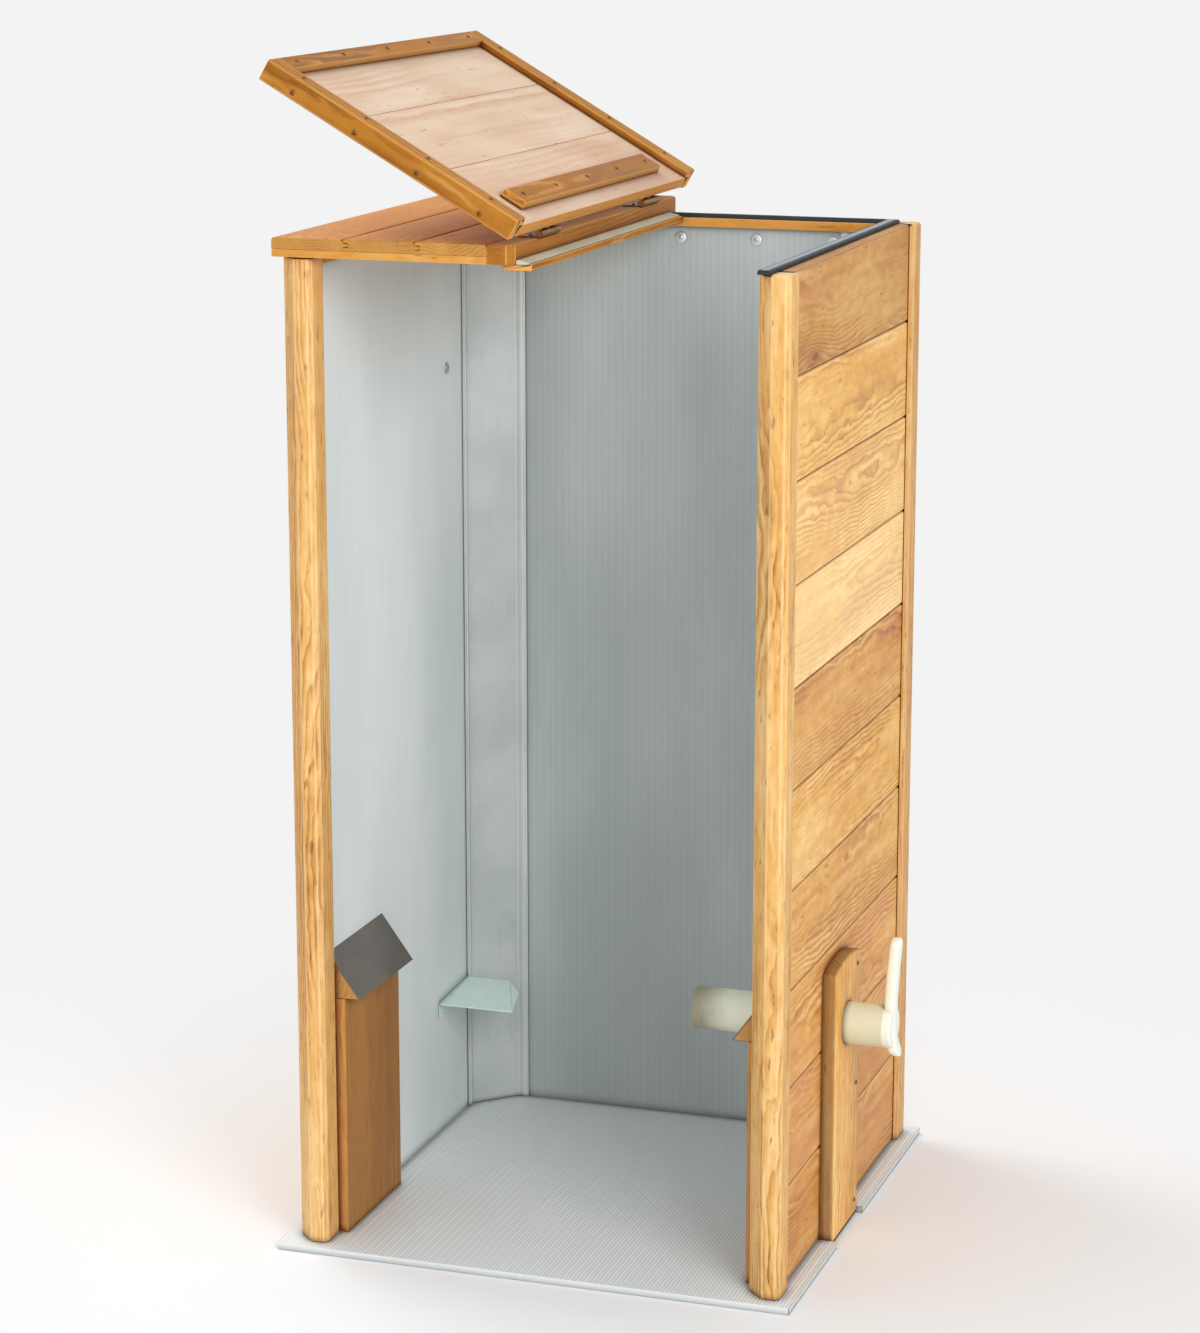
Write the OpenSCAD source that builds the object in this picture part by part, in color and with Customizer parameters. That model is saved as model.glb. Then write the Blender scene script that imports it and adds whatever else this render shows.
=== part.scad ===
// Wooden compost bin: board walls between chamfered posts, lined with fluted sheet,
// a fixed roof part, a lid on two hinges, side air ducts and a turning air tube.
// X runs across the front, Y from the open front to the back, Z up.
// The origin is the centre of the underside of the base sheet.

/* [Body] */
// Width over the posts
body_w = 740; // [640:10:900]
// Depth over the posts
body_d = 740; // [640:10:900]

/* [Posts] */
// Side of the square posts
post_s = 51; // [48:1:60]
// Small chamfer on the long edges of the posts
post_chamfer = 6; // [2:1:8]
// Large chamfer on the front left edge of the front posts
front_chamfer = 25; // [12:1:27]
// Depth of the housings that take the ends of the wall boards
housing_depth = 10; // [6:1:14]
// Gap between a board and its housing, on each side
housing_gap = 0.4; // [0.2:0.1:1]

/* [Wall boards] */
// Height that one wall board covers
board_cover = 145; // [130:5:160]
// Thickness of a wall board
board_t = 20; // [18:1:24]
// Depth of the board faces behind the post faces
board_recess = 8; // [4:1:10]
// Height of the tongues
tongue_h = 8; // [5:1:10]
// Thickness of the tongues
tongue_t = 6; // [4:1:8]
// Gap around a tongue in its groove
tongue_gap = 0.4; // [0.2:0.1:1]
// Chamfer on the weather edges of the boards
joint_chamfer = 3; // [1:0.5:4]

/* [Base sheet] */
// Thickness of the base sheet
base_t = 10; // [8:1:16]
// Width of the rim that stands out past the posts
base_rim = 20; // [12:1:30]

/* [Linings] */
// Thickness of the wall linings
lining_t = 10; // [8:1:16]
// Distance from one web to the next in the fluted sheets
flute_pitch = 11; // [8:0.5:16]
// Thickness of the skins and webs of the fluted sheets
flute_wall = 1; // [0.8:0.1:1.5]
// Height of the inner rails at the top of the walls
top_rail_h = 14; // [10:1:24]
// Thickness of the inner rails
top_rail_t = 20; // [16:1:24]

/* [Corner profiles] */
// Length along each wall that a corner profile covers
corner_leg = 60; // [50:1:75]
// Width of the flanges of a corner profile
corner_flange = 18; // [12:1:24]
// Thickness of the corner profiles
corner_t = 3; // [2:0.5:4]

/* [Seals] */
// Width of the seal on the walls
seal_w = 18; // [12:1:20]
// Height of the seal on the walls
seal_h = 7; // [6:1:10]
// Gap between the seals and what lies on them
seal_gap = 0.3; // [0.2:0.1:1]

/* [Fixed roof] */
// Width that one roof board covers
roof_board_cover = 106; // [80:1:120]
// Thickness of the roof boards
roof_board_t = 16; // [14:1:18]
// Width of the battens under the roof boards
roof_batten_w = 45; // [30:1:50]
// Overhang of the roof past the posts
roof_overhang = 5; // [2:1:12]
// Width of the hinge beam
beam_w = 38; // [30:1:50]
// Width of the shelf that the lid's hinge side closes on
ledge_w = 24; // [20:1:28]
// Thickness of that shelf
ledge_t = 8; // [6:1:10]

/* [Lid] */
// Thickness of the lid boards
lid_board_t = 20; // [18:1:24]
// Width of the lid's side rails, which hang outside the posts
lid_rail_w = 34; // [28:1:44]
// Depth of the rebate in the rails that takes the board ends
lid_rebate = 14; // [8:1:16]
// Depth of the rails and battens under the lid boards
lid_frame_t = 12; // [8:1:20]
// Width of the batten at the lid's free edge
far_batten_w = 26; // [18:1:34]
// Width of the batten near the hinges
near_batten_w = 36; // [28:1:48]
// Gap between the lid and what it closes beside
lid_gap = 2; // [1.5:0.5:4]
// Gap between the near batten and the shelf it closes behind
near_batten_gap = 6; // [3:1:10]
// Opening angle of the lid in the stored pose
lid_open = 150; // [100:1:155]

/* [Hinges] */
// Distance of each hinge from the middle of the lid
hinge_offset = 230; // [180:5:280]
// Length of a hinge
hinge_len = 80; // [60:5:100]
// Width of a hinge leaf
hinge_leaf_w = 30; // [24:1:36]
// Thickness of a hinge leaf
hinge_leaf_t = 2; // [1.5:0.5:2.5]
// Outer radius of the knuckles
knuckle_r = 5; // [4.5:0.5:7]
// Radius of the hinge pins
pin_r = 3; // [2:0.25:3.5]
// Gap between a pin and its knuckles
pin_gap = 0.05; // [0.03:0.01:0.1]

/* [Air ducts] */
// Height of the side ducts without their caps
duct_h = 362; // [250:1:420]
// Depth of the side ducts, out from the lining
duct_depth = 26; // [18:1:36]
// Free space between the back ends of the side ducts and the tube's bush
duct_clear = 12; // [6:1:30]
// Thickness of the duct boards
duct_wall = 8; // [6:1:10]
// Height of the wedge caps on the ducts
cap_h = 66; // [45:1:80]
// Overhang of the wedge caps past the ducts
cap_overhang = 22; // [10:1:30]
// Thickness of the sheet metal on the caps and in the corner
sheet_t = 1.5; // [1:0.1:2]
// Height of the corner deflector over the base sheet
deflector_z = 213; // [150:1:300]
// Length of the corner deflector along the side wall
deflector_len = 130; // [90:1:150]
// Width of the corner deflector at its front edge
deflector_w = 125; // [100:1:140]
// Width of the corner deflector at its back edge
deflector_back_w = 74; // [60:1:98]
// Rise of the corner deflector towards the back
deflector_rise = 7; // [4:1:30]
// Height of the deflector's flange on the side wall
deflector_flange = 24; // [16:1:40]
// Width of the deflector's bent tab
deflector_tab = 13; // [6:1:16]
// Angle at which the tab is bent down
deflector_fold = 15; // [5:1:60]

/* [Air tube] */
// Height of the tube's axis over the base sheet
tube_z = 315; // [220:5:340]
// Distance of the tube's axis in front of the bin's middle
tube_forward = 52; // [0:1:70]
// Outer radius of the tube
tube_r = 31.5; // [25:0.5:36]
// Wall of the tube
tube_wall = 3; // [2:0.5:4]
// Length of the tube inside the lining
tube_in = 182; // [120:1:240]
// Length of the tube outside the cover board
tube_out = 58; // [40:1:80]
// Gap between the turning tube and what it runs in
tube_gap = 0.3; // [0.2:0.1:0.6]
// Thickness of the bush around the tube
bush_t = 4; // [3:0.5:6]
// Width of the cover board
cover_w = 146; // [110:1:160]
// Height of the cover board over the base sheet
cover_h = 418; // [400:1:450]
// Thickness of the cover board
cover_t = 20; // [16:1:24]
// Rise of the rounded top of the cover board
cover_arch = 10; // [6:1:30]
// Height of the lever's arm over the tube's axis
lever_up = 137; // [100:1:160]
// Depth of the lever's foot under the tube's axis
lever_down = 44; // [40:1:60]
// Width of the lever
lever_w = 28; // [24:1:40]
// Thickness of the lever
lever_t = 18; // [14:1:22]
// Thickness of the hub that closes the tube
hub_t = 13; // [8:1:16]
// Distance that the lever's top stands further out than its hub
lever_lean = 8; // [0:1:14]
// Distance that the lever's foot stands further out than its hub
lever_foot = 11; // [0:1:14]

/* [Screws] */
// Radius of the wood screw heads
screw_r = 3.5; // [3:0.25:5]
// Height of the wood screw heads
screw_h = 1.5; // [1:0.25:2.5]
// Radius of the washers on the linings
washer_r = 9; // [7:0.5:12]
// Distance of the back lining's screw row below the lining's top
screw_row_drop = 18; // [16:1:40]
// Distance of the side linings' screws below the lining's top
side_screw_drop = 216; // [100:2:400]
// Distance of the side linings' screws from the back lining
side_screw_in = 143; // [100:1:250]
// Distance of the cover board's screws from its edges
cover_screw_inset = 18; // [12:1:24]
// Distance of the outer screws from the ends of the lid's battens
lid_screw_inset = 36; // [20:1:60]

/* [Hidden] */
$fn = 64;

wall_boards = 10;
roof_boards = 3;
lid_boards = 3;

honey = "#D9A45B";
amber = "#B5701F";
pale_wood = "#E0CCB0";
grey_sheet = "#C6CCCB";

// Walls: outer and inner faces of the boards and the linings
wall_z0 = base_t;
wall_z1 = wall_z0 + wall_boards * board_cover;
face_x = body_w / 2 - board_recess;
face_y = body_d / 2 - board_recess;
inner_x = face_x - board_t;
inner_y = face_y - board_t;
lining_x = inner_x - lining_t;
lining_y = inner_y - lining_t;
post_in_x = body_w / 2 - post_s;
post_in_y = body_d / 2 - post_s;
side_board_len = 2 * (post_in_y + housing_depth - housing_gap);
back_board_len = 2 * (post_in_x + housing_depth - housing_gap);
lining_z1 = wall_z1 - top_rail_h;

// Roof: the undersides of the lid boards lie on the seals, and all the tops are level
lid_under = wall_z1 + seal_h;
roof_top = lid_under + lid_board_t;
roof_batten_t = roof_top - roof_board_t - wall_z1;
roof_x0 = -body_w / 2 - roof_overhang;
roof_x1 = roof_x0 + roof_boards * roof_board_cover;
roof_y = body_d / 2 + roof_overhang;
hinge_x = roof_x1 + beam_w;
beam_bevel = 10;
ledge_y0 = -roof_y + beam_bevel;
ledge_y1 = inner_y - top_rail_t;
ledge_lip = 4;
ledge_bevel = 2;

// Lid, in its closed place
lid_x0 = hinge_x + lid_gap;
lid_x1 = body_w / 2 + lid_gap + far_batten_w;
lid_len = lid_x1 - lid_x0;
lid_board_cover = lid_len / lid_boards;
lid_in_y = body_d / 2 + lid_gap;
lid_y = lid_in_y + lid_rail_w;
near_x0 = hinge_x + ledge_w + near_batten_gap;
near_y = ledge_y1 - 2 * near_batten_gap;
end_bevel = 7;
far_bevel = 1;
rail_screws = 4;
axis_x = hinge_x + lid_gap / 2;
axis_lift = 0.4;
axis_z = roof_top + knuckle_r + axis_lift;
knuckles = 5;
knuckle_gap = 0.4;
knuckle_len = hinge_len / knuckles;
pin_head_t = 1.5;
pin_head_w = 1.2;

// Tube and cover board
tube_axis_z = base_t + tube_z;
cover_x = face_x + cover_t;
bore_r = tube_r + tube_gap + bush_t;
bush_seat = 0.2;
bush_flange_t = 4;
bush_flange_w = 8;
bead_t = 5;
bead_h = 3.5;
cover_bore_gap = 1;
cover_foot = 3;
tube_x0 = lining_x - tube_in;
tube_x1 = cover_x + tube_out;
tube_y = -tube_forward;
bush_r = bore_r + bush_flange_w;
duct_len = post_in_y + tube_y - bush_r - duct_clear;
lever_gap = 0.3;
hub_ease = 2;
deflector_tab_place = 0.65;
washer_clear = 4;

// Section of a tongue-and-groove board: x from the weather face inwards, y across the cover
module board_section(t, cover, tongue = true, groove = true) {
    n0 = (t - tongue_t) / 2;
    n1 = (t + tongue_t) / 2;
    bite = min(1, tongue_t / 4);
    edge = 0.8;
    groove_points = [
        [n0 - tongue_gap, 0], [n0 - tongue_gap, tongue_h + tongue_gap],
        [n1 + tongue_gap, tongue_h + tongue_gap], [n1 + tongue_gap, 0],
    ];
    tongue_points = [
        [n1, cover], [n1 - bite, cover + tongue_h], [n0 + bite, cover + tongue_h], [n0, cover],
    ];
    polygon(concat(
        [[0, joint_chamfer], [joint_chamfer, 0]],
        groove ? groove_points : [],
        [[t - edge, 0], [t, edge], [t, cover - edge], [t - edge, cover]],
        tongue ? tongue_points : [],
        [[joint_chamfer, cover], [0, cover - joint_chamfer]]
    ));
}

// Upright board of the left wall, centred on Y, its weather face towards -X
module wall_board(i, len) {
    translate([-face_x, len / 2, wall_z0 + i * board_cover])
        rotate([90, 0, 0])
            linear_extrude(len)
                board_section(board_t, board_cover, i < wall_boards - 1, i > 0);
}

// Flat board along Y, its weather face on top, covering from x = 0 towards +X
module flat_board(len, t, cover, tongue, groove) {
    rotate([0, 90, 0])
        translate([0, len / 2, 0])
            rotate([90, 0, 0])
                linear_extrude(len)
                    board_section(t, cover, tongue, groove);
}

// Shape drawn in Y and Z, carried along +X from x0 to x1
module along_x(x0, x1) {
    translate([x0, 0, 0])
        rotate([90, 0, 90])
            linear_extrude(x1 - x0)
                children();
}

// Shape drawn in X and Z, carried along Y from y0 to y1
module along_y(y0, y1) {
    translate([0, y1, 0])
        rotate([90, 0, 0])
            linear_extrude(y1 - y0)
                children();
}

// Fluted sheet: two skins joined by webs, its flutes running along the long way of the block
module fluted_block(w, len, t) {
    count = floor((w - flute_wall) / flute_pitch);
    first = (w - count * flute_pitch + flute_wall) / 2;
    difference() {
        cube([w, len, t]);
        for (i = [0:count - 1])
            translate([first + i * flute_pitch, -1, flute_wall])
                cube([flute_pitch - flute_wall, len + 2, t - 2 * flute_wall]);
    }
}

// Upright fluted lining in the plane y = 0, its back on +Y
module upright_lining(w) {
    translate([-w / 2, lining_t, wall_z0])
        rotate([90, 0, 0])
            fluted_block(w, lining_z1 - wall_z0, lining_t);
}

// Cylinder along +X from x0 to x1 on the tube's axis
module tube_rod(r, x0, x1) {
    translate([x0, tube_y, tube_axis_z])
        rotate([0, 90, 0])
            cylinder(r = r, h = x1 - x0);
}

// Housings that the ends of the wall boards stand in
module board_housings() {
    for (s = [-1, 1])
        translate([s * (face_x - board_t / 2), 0, wall_z0 + (wall_z1 - wall_z0) / 2])
            cube([board_t + 2 * housing_gap, 2 * (post_in_y + housing_depth), 2 * wall_z1], center = true);
    translate([0, face_y - board_t / 2, wall_z0 + (wall_z1 - wall_z0) / 2])
        cube([2 * (post_in_x + housing_depth), board_t + 2 * housing_gap, 2 * wall_z1], center = true);
}

// Post at the corner given by the signs sx and sy; f is the chamfer of its front left edge
module post(sx, sy) {
    c = post_chamfer;
    s = post_s;
    f = sy < 0 ? front_chamfer : c;
    color(honey)
        difference() {
            translate([sx * (body_w - s) / 2 - s / 2, sy * (body_d - s) / 2 - s / 2, wall_z0])
                linear_extrude(wall_z1 - wall_z0)
                    polygon([[f, 0], [s - c, 0], [s, c], [s, s - c], [s - c, s], [c, s], [0, s - c], [0, f]]);
            board_housings();
        }
}

module base_sheet() {
    w = body_w + 2 * base_rim;
    d = body_d + 2 * base_rim;
    notch = cover_w + 2 * lid_gap;
    color(grey_sheet)
        difference() {
            translate([-w / 2, -d / 2, 0]) fluted_block(w, d, base_t);
            translate([face_x, tube_y - notch / 2, -1]) cube([w, notch, base_t + 2]);
        }
}

module plank_right(i) {
    color(honey)
        difference() {
            mirror([1, 0, 0]) wall_board(i, side_board_len);
            tube_rod(bore_r, inner_x - 1, face_x + 1);
        }
}

module planks_left() {
    color(honey) for (i = [0:wall_boards - 1]) wall_board(i, side_board_len);
}

// The back wall is the left wall turned a quarter about Z
module planks_back() {
    color(honey)
        for (i = [0:wall_boards - 1])
            translate([0, face_y - face_x, 0])
                rotate([0, 0, -90])
                    wall_board(i, back_board_len);
}

module lining_left() {
    color(grey_sheet) translate([-inner_x, 0, 0]) rotate([0, 0, 90]) translate([0, -lining_t, 0])
        upright_lining(2 * post_in_y);
}

module lining_right() {
    color(grey_sheet)
        difference() {
            mirror([1, 0, 0]) lining_left();
            tube_rod(bore_r, lining_x - 1, inner_x + 1);
        }
}

module lining_back() {
    color(grey_sheet) translate([0, lining_y, 0]) upright_lining(2 * post_in_x);
}

// Diagonal profile over a back corner, with a flange on each lining
module corner_profile() {
    reach = corner_leg + corner_flange;
    web = corner_t * (sqrt(2) - 1);
    color("#DDE3E2")
        translate([-lining_x, lining_y, wall_z0])
            linear_extrude(lining_z1 - wall_z0)
                polygon([
                    [corner_leg, 0], [reach, 0], [reach, -corner_t], [corner_leg + web, -corner_t],
                    [corner_t, -corner_leg - web], [corner_t, -reach], [0, -reach], [0, -corner_leg],
                ]);
}

module top_rail_left() {
    color(amber) translate([-inner_x, -post_in_y, lining_z1]) cube([top_rail_t, 2 * post_in_y, top_rail_h]);
}

module top_rail_right() {
    mirror([1, 0, 0]) top_rail_left();
}

module top_rail_back() {
    color(amber)
        translate([-post_in_x, inner_y - top_rail_t, lining_z1])
            cube([2 * post_in_x, top_rail_t, top_rail_h]);
}

// Section of the wall seal: x inwards from the wall's inner face, y up
module seal_section() {
    h = seal_h - seal_gap;
    crown = seal_w / 6;
    polygon([[0, 0], [seal_w, 0], [seal_w, h / 2], [seal_w - crown, h], [crown, h], [0, h / 2]]);
}

module wall_seal() {
    front = body_d / 2 + seal_gap;
    color("#4A4D55")
        union() {
            translate([inner_x, 0, wall_z1])
                mirror([1, 0, 0])
                    along_y(-front, inner_y) seal_section();
            translate([0, inner_y, wall_z1])
                mirror([0, 1, 0])
                    along_x(hinge_x + lid_gap, inner_x) seal_section();
        }
}

module roof_board(i) {
    color(honey)
        translate([roof_x0 + i * roof_board_cover, 0, roof_top])
            flat_board(2 * roof_y, roof_board_t, roof_board_cover, i < roof_boards - 1, i > 0);
}

// Front, back and left battens that carry the roof boards on the walls
module roof_battens() {
    color(honey)
        translate([roof_x0, 0, wall_z1]) {
            for (s = [-1, 1])
                translate([0, s * (roof_y - roof_batten_w / 2) - roof_batten_w / 2, 0])
                    cube([roof_x1 - roof_x0, roof_batten_w, roof_batten_t]);
            translate([0, -roof_y + roof_batten_w, 0])
                cube([roof_batten_w, 2 * (roof_y - roof_batten_w), roof_batten_t]);
        }
}

module hinge_beam() {
    b = beam_bevel;
    color(amber)
        translate([roof_x1, 0, wall_z1])
            linear_extrude(roof_top - wall_z1)
                polygon([
                    [0, -roof_y], [beam_w - b, -roof_y], [beam_w, -roof_y + b],
                    [beam_w, roof_y - b], [beam_w - b, roof_y], [0, roof_y],
                ]);
}

// Shelf under the beam, with a raised lip along its free edge
module seal_ledge() {
    lip = ledge_lip;
    b = ledge_bevel;
    hold = beam_w / 2;
    color(amber)
        translate([hinge_x, 0, wall_z1])
            along_y(ledge_y0, ledge_y1)
                polygon([
                    [-hold, -ledge_t], [ledge_w - b, -ledge_t], [ledge_w, b - ledge_t], [ledge_w, lip / 2],
                    [ledge_w - lip, lip / 2], [ledge_w - lip, 0], [-hold, 0],
                ]);
}

// Wedge-shaped seal on the shelf, highest beside the beam
module ledge_seal() {
    w = ledge_w - ledge_lip - seal_gap;
    h = seal_h - seal_gap;
    color("#B9BDB8")
        translate([hinge_x, 0, wall_z1])
            along_y(ledge_y0 + seal_gap, ledge_y1 - seal_gap)
                polygon([[seal_gap, 0], [w, 0], [w, h / 2], [w / 3, h], [seal_gap, h]]);
}

// Turns what is drawn in the closed place about the hinges into the stored, open pose
module lid_pose() {
    translate([axis_x, 0, axis_z])
        rotate([0, -lid_open, 0])
            translate([-axis_x, 0, -axis_z])
                children();
}

module lid_board(i) {
    color(pale_wood)
        lid_pose()
            translate([lid_x0 + i * lid_board_cover, 0, roof_top])
                flat_board(2 * (lid_in_y + lid_rebate), lid_board_t, lid_board_cover,
                           i < lid_boards - 1, i > 0);
}

// Section of a side rail: x inwards from its outer face, y up from its underside
module lid_rail_section() {
    h = lid_board_t + lid_frame_t;
    body = lid_rail_w - lid_rebate;
    ease = 2;
    groove = 2.5;
    first = lid_rail_w / 3;
    second = lid_rail_w * 2 / 3;
    polygon([
        [0, ease], [ease, 0],
        [first - groove, 0], [first, groove], [first + groove, 0],
        [second - groove, 0], [second, groove], [second + groove, 0],
        [lid_rail_w - ease, 0], [lid_rail_w, ease], [lid_rail_w, lid_frame_t],
        [body, lid_frame_t], [body, h], [ease, h], [0, h - ease],
    ]);
}

module lid_rail_front() {
    color(amber)
        lid_pose()
            translate([0, -lid_y, lid_under - lid_frame_t])
                along_x(lid_x0, lid_x1) lid_rail_section();
}

module lid_rail_back() {
    color(amber)
        lid_pose()
            translate([0, lid_y, lid_under - lid_frame_t])
                mirror([0, 1, 0])
                    along_x(lid_x0, lid_x1) lid_rail_section();
}

// Batten under the lid boards: half its length, and a bevel under each end
module lid_batten(x0, x1, half, bevel) {
    t = lid_frame_t;
    color(amber)
        lid_pose()
            translate([0, 0, lid_under - t])
                along_x(x0, x1)
                    polygon([[-half, bevel], [bevel - half, 0], [half - bevel, 0], [half, bevel], [half, t], [-half, t]]);
}

module lid_far_batten() {
    lid_batten(lid_x1 - far_batten_w, lid_x1, lid_in_y, far_bevel);
}

module lid_near_batten() {
    lid_batten(near_x0, near_x0 + near_batten_w, near_y, end_bevel);
}

// Knuckles of one leaf, drawn along Y about the hinge's middle, and the leaf towards -X
module hinge_leaf(first) {
    plate_x = knuckle_r + knuckle_gap;
    bed_z = -knuckle_r - axis_lift;
    difference() {
        union() {
            translate([-hinge_leaf_w, -hinge_len / 2, bed_z])
                cube([hinge_leaf_w - plate_x, hinge_len, hinge_leaf_t]);
            for (i = [first:2:knuckles - 1])
                translate([0, -hinge_len / 2 + i * knuckle_len + knuckle_gap / 2, 0]) {
                    rotate([-90, 0, 0]) cylinder(r = knuckle_r, h = knuckle_len - knuckle_gap);
                    translate([-plate_x - 1, 0, bed_z])
                        cube([plate_x + 1, knuckle_len - knuckle_gap, hinge_leaf_t]);
                }
        }
        translate([0, hinge_len, 0]) rotate([90, 0, 0]) cylinder(r = pin_r + pin_gap, h = 2 * hinge_len);
    }
}

module hinge_leaves_roof() {
    color("#8C8F92")
        for (s = [-1, 1]) translate([axis_x, s * hinge_offset, axis_z]) hinge_leaf(0);
}

module hinge_leaves_lid() {
    color("#8C8F92")
        lid_pose()
            for (s = [-1, 1]) translate([axis_x, s * hinge_offset, axis_z]) mirror([1, 0, 0]) hinge_leaf(1);
}

// Three heads on the bed of a leaf drawn towards -X
module leaf_screws() {
    for (i = [-1:1])
        translate([-(hinge_leaf_w + knuckle_r) / 2, i * hinge_len / 3, hinge_leaf_t - knuckle_r - axis_lift])
            screw_head();
}

module hinge_screws_roof() {
    color("#C9CDCF")
        for (s = [-1, 1]) translate([axis_x, s * hinge_offset, axis_z]) leaf_screws();
}

module hinge_screws_lid() {
    color("#C9CDCF")
        lid_pose()
            for (s = [-1, 1]) translate([axis_x, s * hinge_offset, axis_z]) mirror([1, 0, 0]) leaf_screws();
}

// Pins with a round head at each end
module hinge_pins() {
    color("#B8BBBE")
        for (s = [-1, 1])
            translate([axis_x, s * hinge_offset, axis_z])
                rotate([90, 0, 0]) {
                    cylinder(r = pin_r, h = hinge_len + 2 * pin_head_t, center = true);
                    for (e = [-1, 1])
                        translate([0, 0, e * (hinge_len + pin_head_t) / 2])
                            cylinder(r = pin_r + pin_head_w, h = pin_head_t, center = true);
                }
}

// Boxed air channel on the left lining, open below, above and towards the lining
module duct_left() {
    color("#A9743C")
        translate([-lining_x, -post_in_y, wall_z0])
            difference() {
                cube([duct_depth, duct_len, duct_h]);
                translate([-1, duct_wall, -1])
                    cube([duct_depth - duct_wall + 1, duct_len - 2 * duct_wall, duct_h + 2]);
            }
}

module duct_right() {
    mirror([1, 0, 0]) duct_left();
}

module duct_cap_left() {
    w = duct_depth + cap_overhang;
    color("#C28F52")
        translate([-lining_x, 0, wall_z0 + duct_h])
            along_y(-post_in_y, duct_len - post_in_y)
                polygon([[0, 0], [w, 0], [0, cap_h]]);
}

module duct_cap_right() {
    mirror([1, 0, 0]) duct_cap_left();
}

// Metal sheet on the slope of a cap
module duct_sheet_left() {
    w = duct_depth + cap_overhang;
    slope = sqrt(w * w + cap_h * cap_h);
    color("#6B6660")
        translate([-lining_x, 0, wall_z0 + duct_h])
            along_y(-post_in_y, duct_len - post_in_y)
                polygon([[w, 0], [w + sheet_t * slope / cap_h, 0], [0, cap_h + sheet_t * slope / w], [0, cap_h]]);
}

module duct_sheet_right() {
    mirror([1, 0, 0]) duct_sheet_left();
}

// Bent sheet over the corner's air way: a plate that rises to the back and narrows towards it,
// a flange on the side wall, and a pointed tab bent down along its free side
module corner_deflector() {
    back = lining_y - corner_leg - corner_flange - seal_gap;
    front_w = deflector_w;
    back_w = deflector_back_w;
    run = deflector_len;
    side = [back_w - front_w, run];
    tab_at = deflector_tab_place * norm(side);
    color("#C9D8CC")
        translate([-lining_x, back - run, wall_z0 + deflector_z])
            rotate([asin(deflector_rise / run), 0, 0]) {
                linear_extrude(sheet_t)
                    polygon([[0, 0], [front_w, 0], [back_w, run], [0, run]]);
                translate([0, 0, -deflector_flange])
                    cube([sheet_t, run, deflector_flange + sheet_t]);
                translate([front_w, 0, 0])
                    rotate([0, 0, atan2(side.y, side.x)])
                        rotate([deflector_fold, 0, 0])
                            linear_extrude(sheet_t)
                                polygon([[0, 0], [tab_at, -deflector_tab], [norm(side), 0]]);
            }
}

// Upright board with a rounded top, bored for the tube
module cover_board() {
    top = base_t + cover_h;
    half = cover_w / 2;
    arch_r = (half * half + cover_arch * cover_arch) / (2 * cover_arch);
    color(honey)
        difference() {
            intersection() {
                translate([face_x, tube_y - half, cover_foot]) cube([cover_t, cover_w, top - cover_foot]);
                union() {
                    translate([face_x - 1, tube_y - half, 0]) cube([cover_t + 2, cover_w, top - cover_arch]);
                    translate([face_x - 1, tube_y, top - arch_r]) rotate([0, 90, 0])
                        cylinder(r = arch_r, h = cover_t + 2, $fn = 128);
                }
            }
            tube_rod(tube_r + cover_bore_gap, face_x - 1, cover_x + 1);
        }
}

// Flanged bush that the tube turns in, through the lining and the boards
module tube_bush() {
    color("#DAD6B8")
        difference() {
            union() {
                tube_rod(bore_r - bush_seat, lining_x - bush_flange_t, face_x);
                tube_rod(bush_r, lining_x - bush_flange_t, lining_x);
            }
            tube_rod(tube_r + tube_gap, lining_x - bush_flange_t - 1, face_x + 1);
        }
}

// Tube with a bead that bears on the bush's flange
module air_tube() {
    bead_x1 = lining_x - bush_flange_t - tube_gap;
    color("#EEEBCF")
        difference() {
            union() {
                tube_rod(tube_r, tube_x0, tube_x1);
                tube_rod(tube_r + bead_h, bead_x1 - bead_t, bead_x1);
            }
            tube_rod(tube_r - tube_wall, tube_x0 - 1, tube_x1 + 1);
        }
}

// Lever: a hub with an eased edge that closes the tube, and an arm and a foot with round ends
// that lean outwards
module lever() {
    steps = 24;
    heights = [for (i = [0:steps]) -lever_down + i * (lever_up + lever_down) / steps];
    lean = function (z) z > 0 ? lever_lean * pow(z / lever_up, 2) : lever_foot * pow(z / lever_down, 2);
    color("#FAFBEE")
        difference() {
            union() {
                tube_rod(tube_r, tube_x1, tube_x1 + hub_t - hub_ease);
                translate([tube_x1 + hub_t - hub_ease, tube_y, tube_axis_z])
                    rotate([0, 90, 0]) cylinder(r1 = tube_r, r2 = tube_r - hub_ease, h = hub_ease);
                translate([tube_x1 + hub_t / 2, tube_y, tube_axis_z])
                    intersection() {
                        along_y(-lever_w, lever_w)
                            polygon(concat(
                                [for (z = heights) [lean(z) - lever_t / 2, z]],
                                [for (i = [steps:-1:0]) [lean(heights[i]) + lever_t / 2, heights[i]]]
                            ));
                        translate([-lever_t, 0, 0])
                            rotate([0, 90, 0])
                                union() {
                                    translate([-lever_up + lever_w / 2, 0, 0]) cylinder(d = lever_w, h = 4 * lever_t);
                                    translate([lever_down - lever_w / 2, 0, 0]) cylinder(d = lever_w, h = 4 * lever_t);
                                    translate([-lever_up + lever_w / 2, -lever_w / 2, 0])
                                        cube([lever_up + lever_down - lever_w, lever_w, 4 * lever_t]);
                                }
                    }
            }
            tube_rod(tube_r + lever_gap, tube_x1 - lever_t, tube_x1);
        }
}

// Screw head standing on a face, pointing along +Z
module screw_head() {
    cylinder(r1 = screw_r, r2 = screw_r * 0.7, h = screw_h, $fn = 24);
}

// Washer with a screw head on it, standing on a face, pointing along +Z
module washer_screw() {
    cylinder(r = washer_r, h = screw_h, $fn = 32);
    translate([0, 0, screw_h]) screw_head();
}

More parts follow.
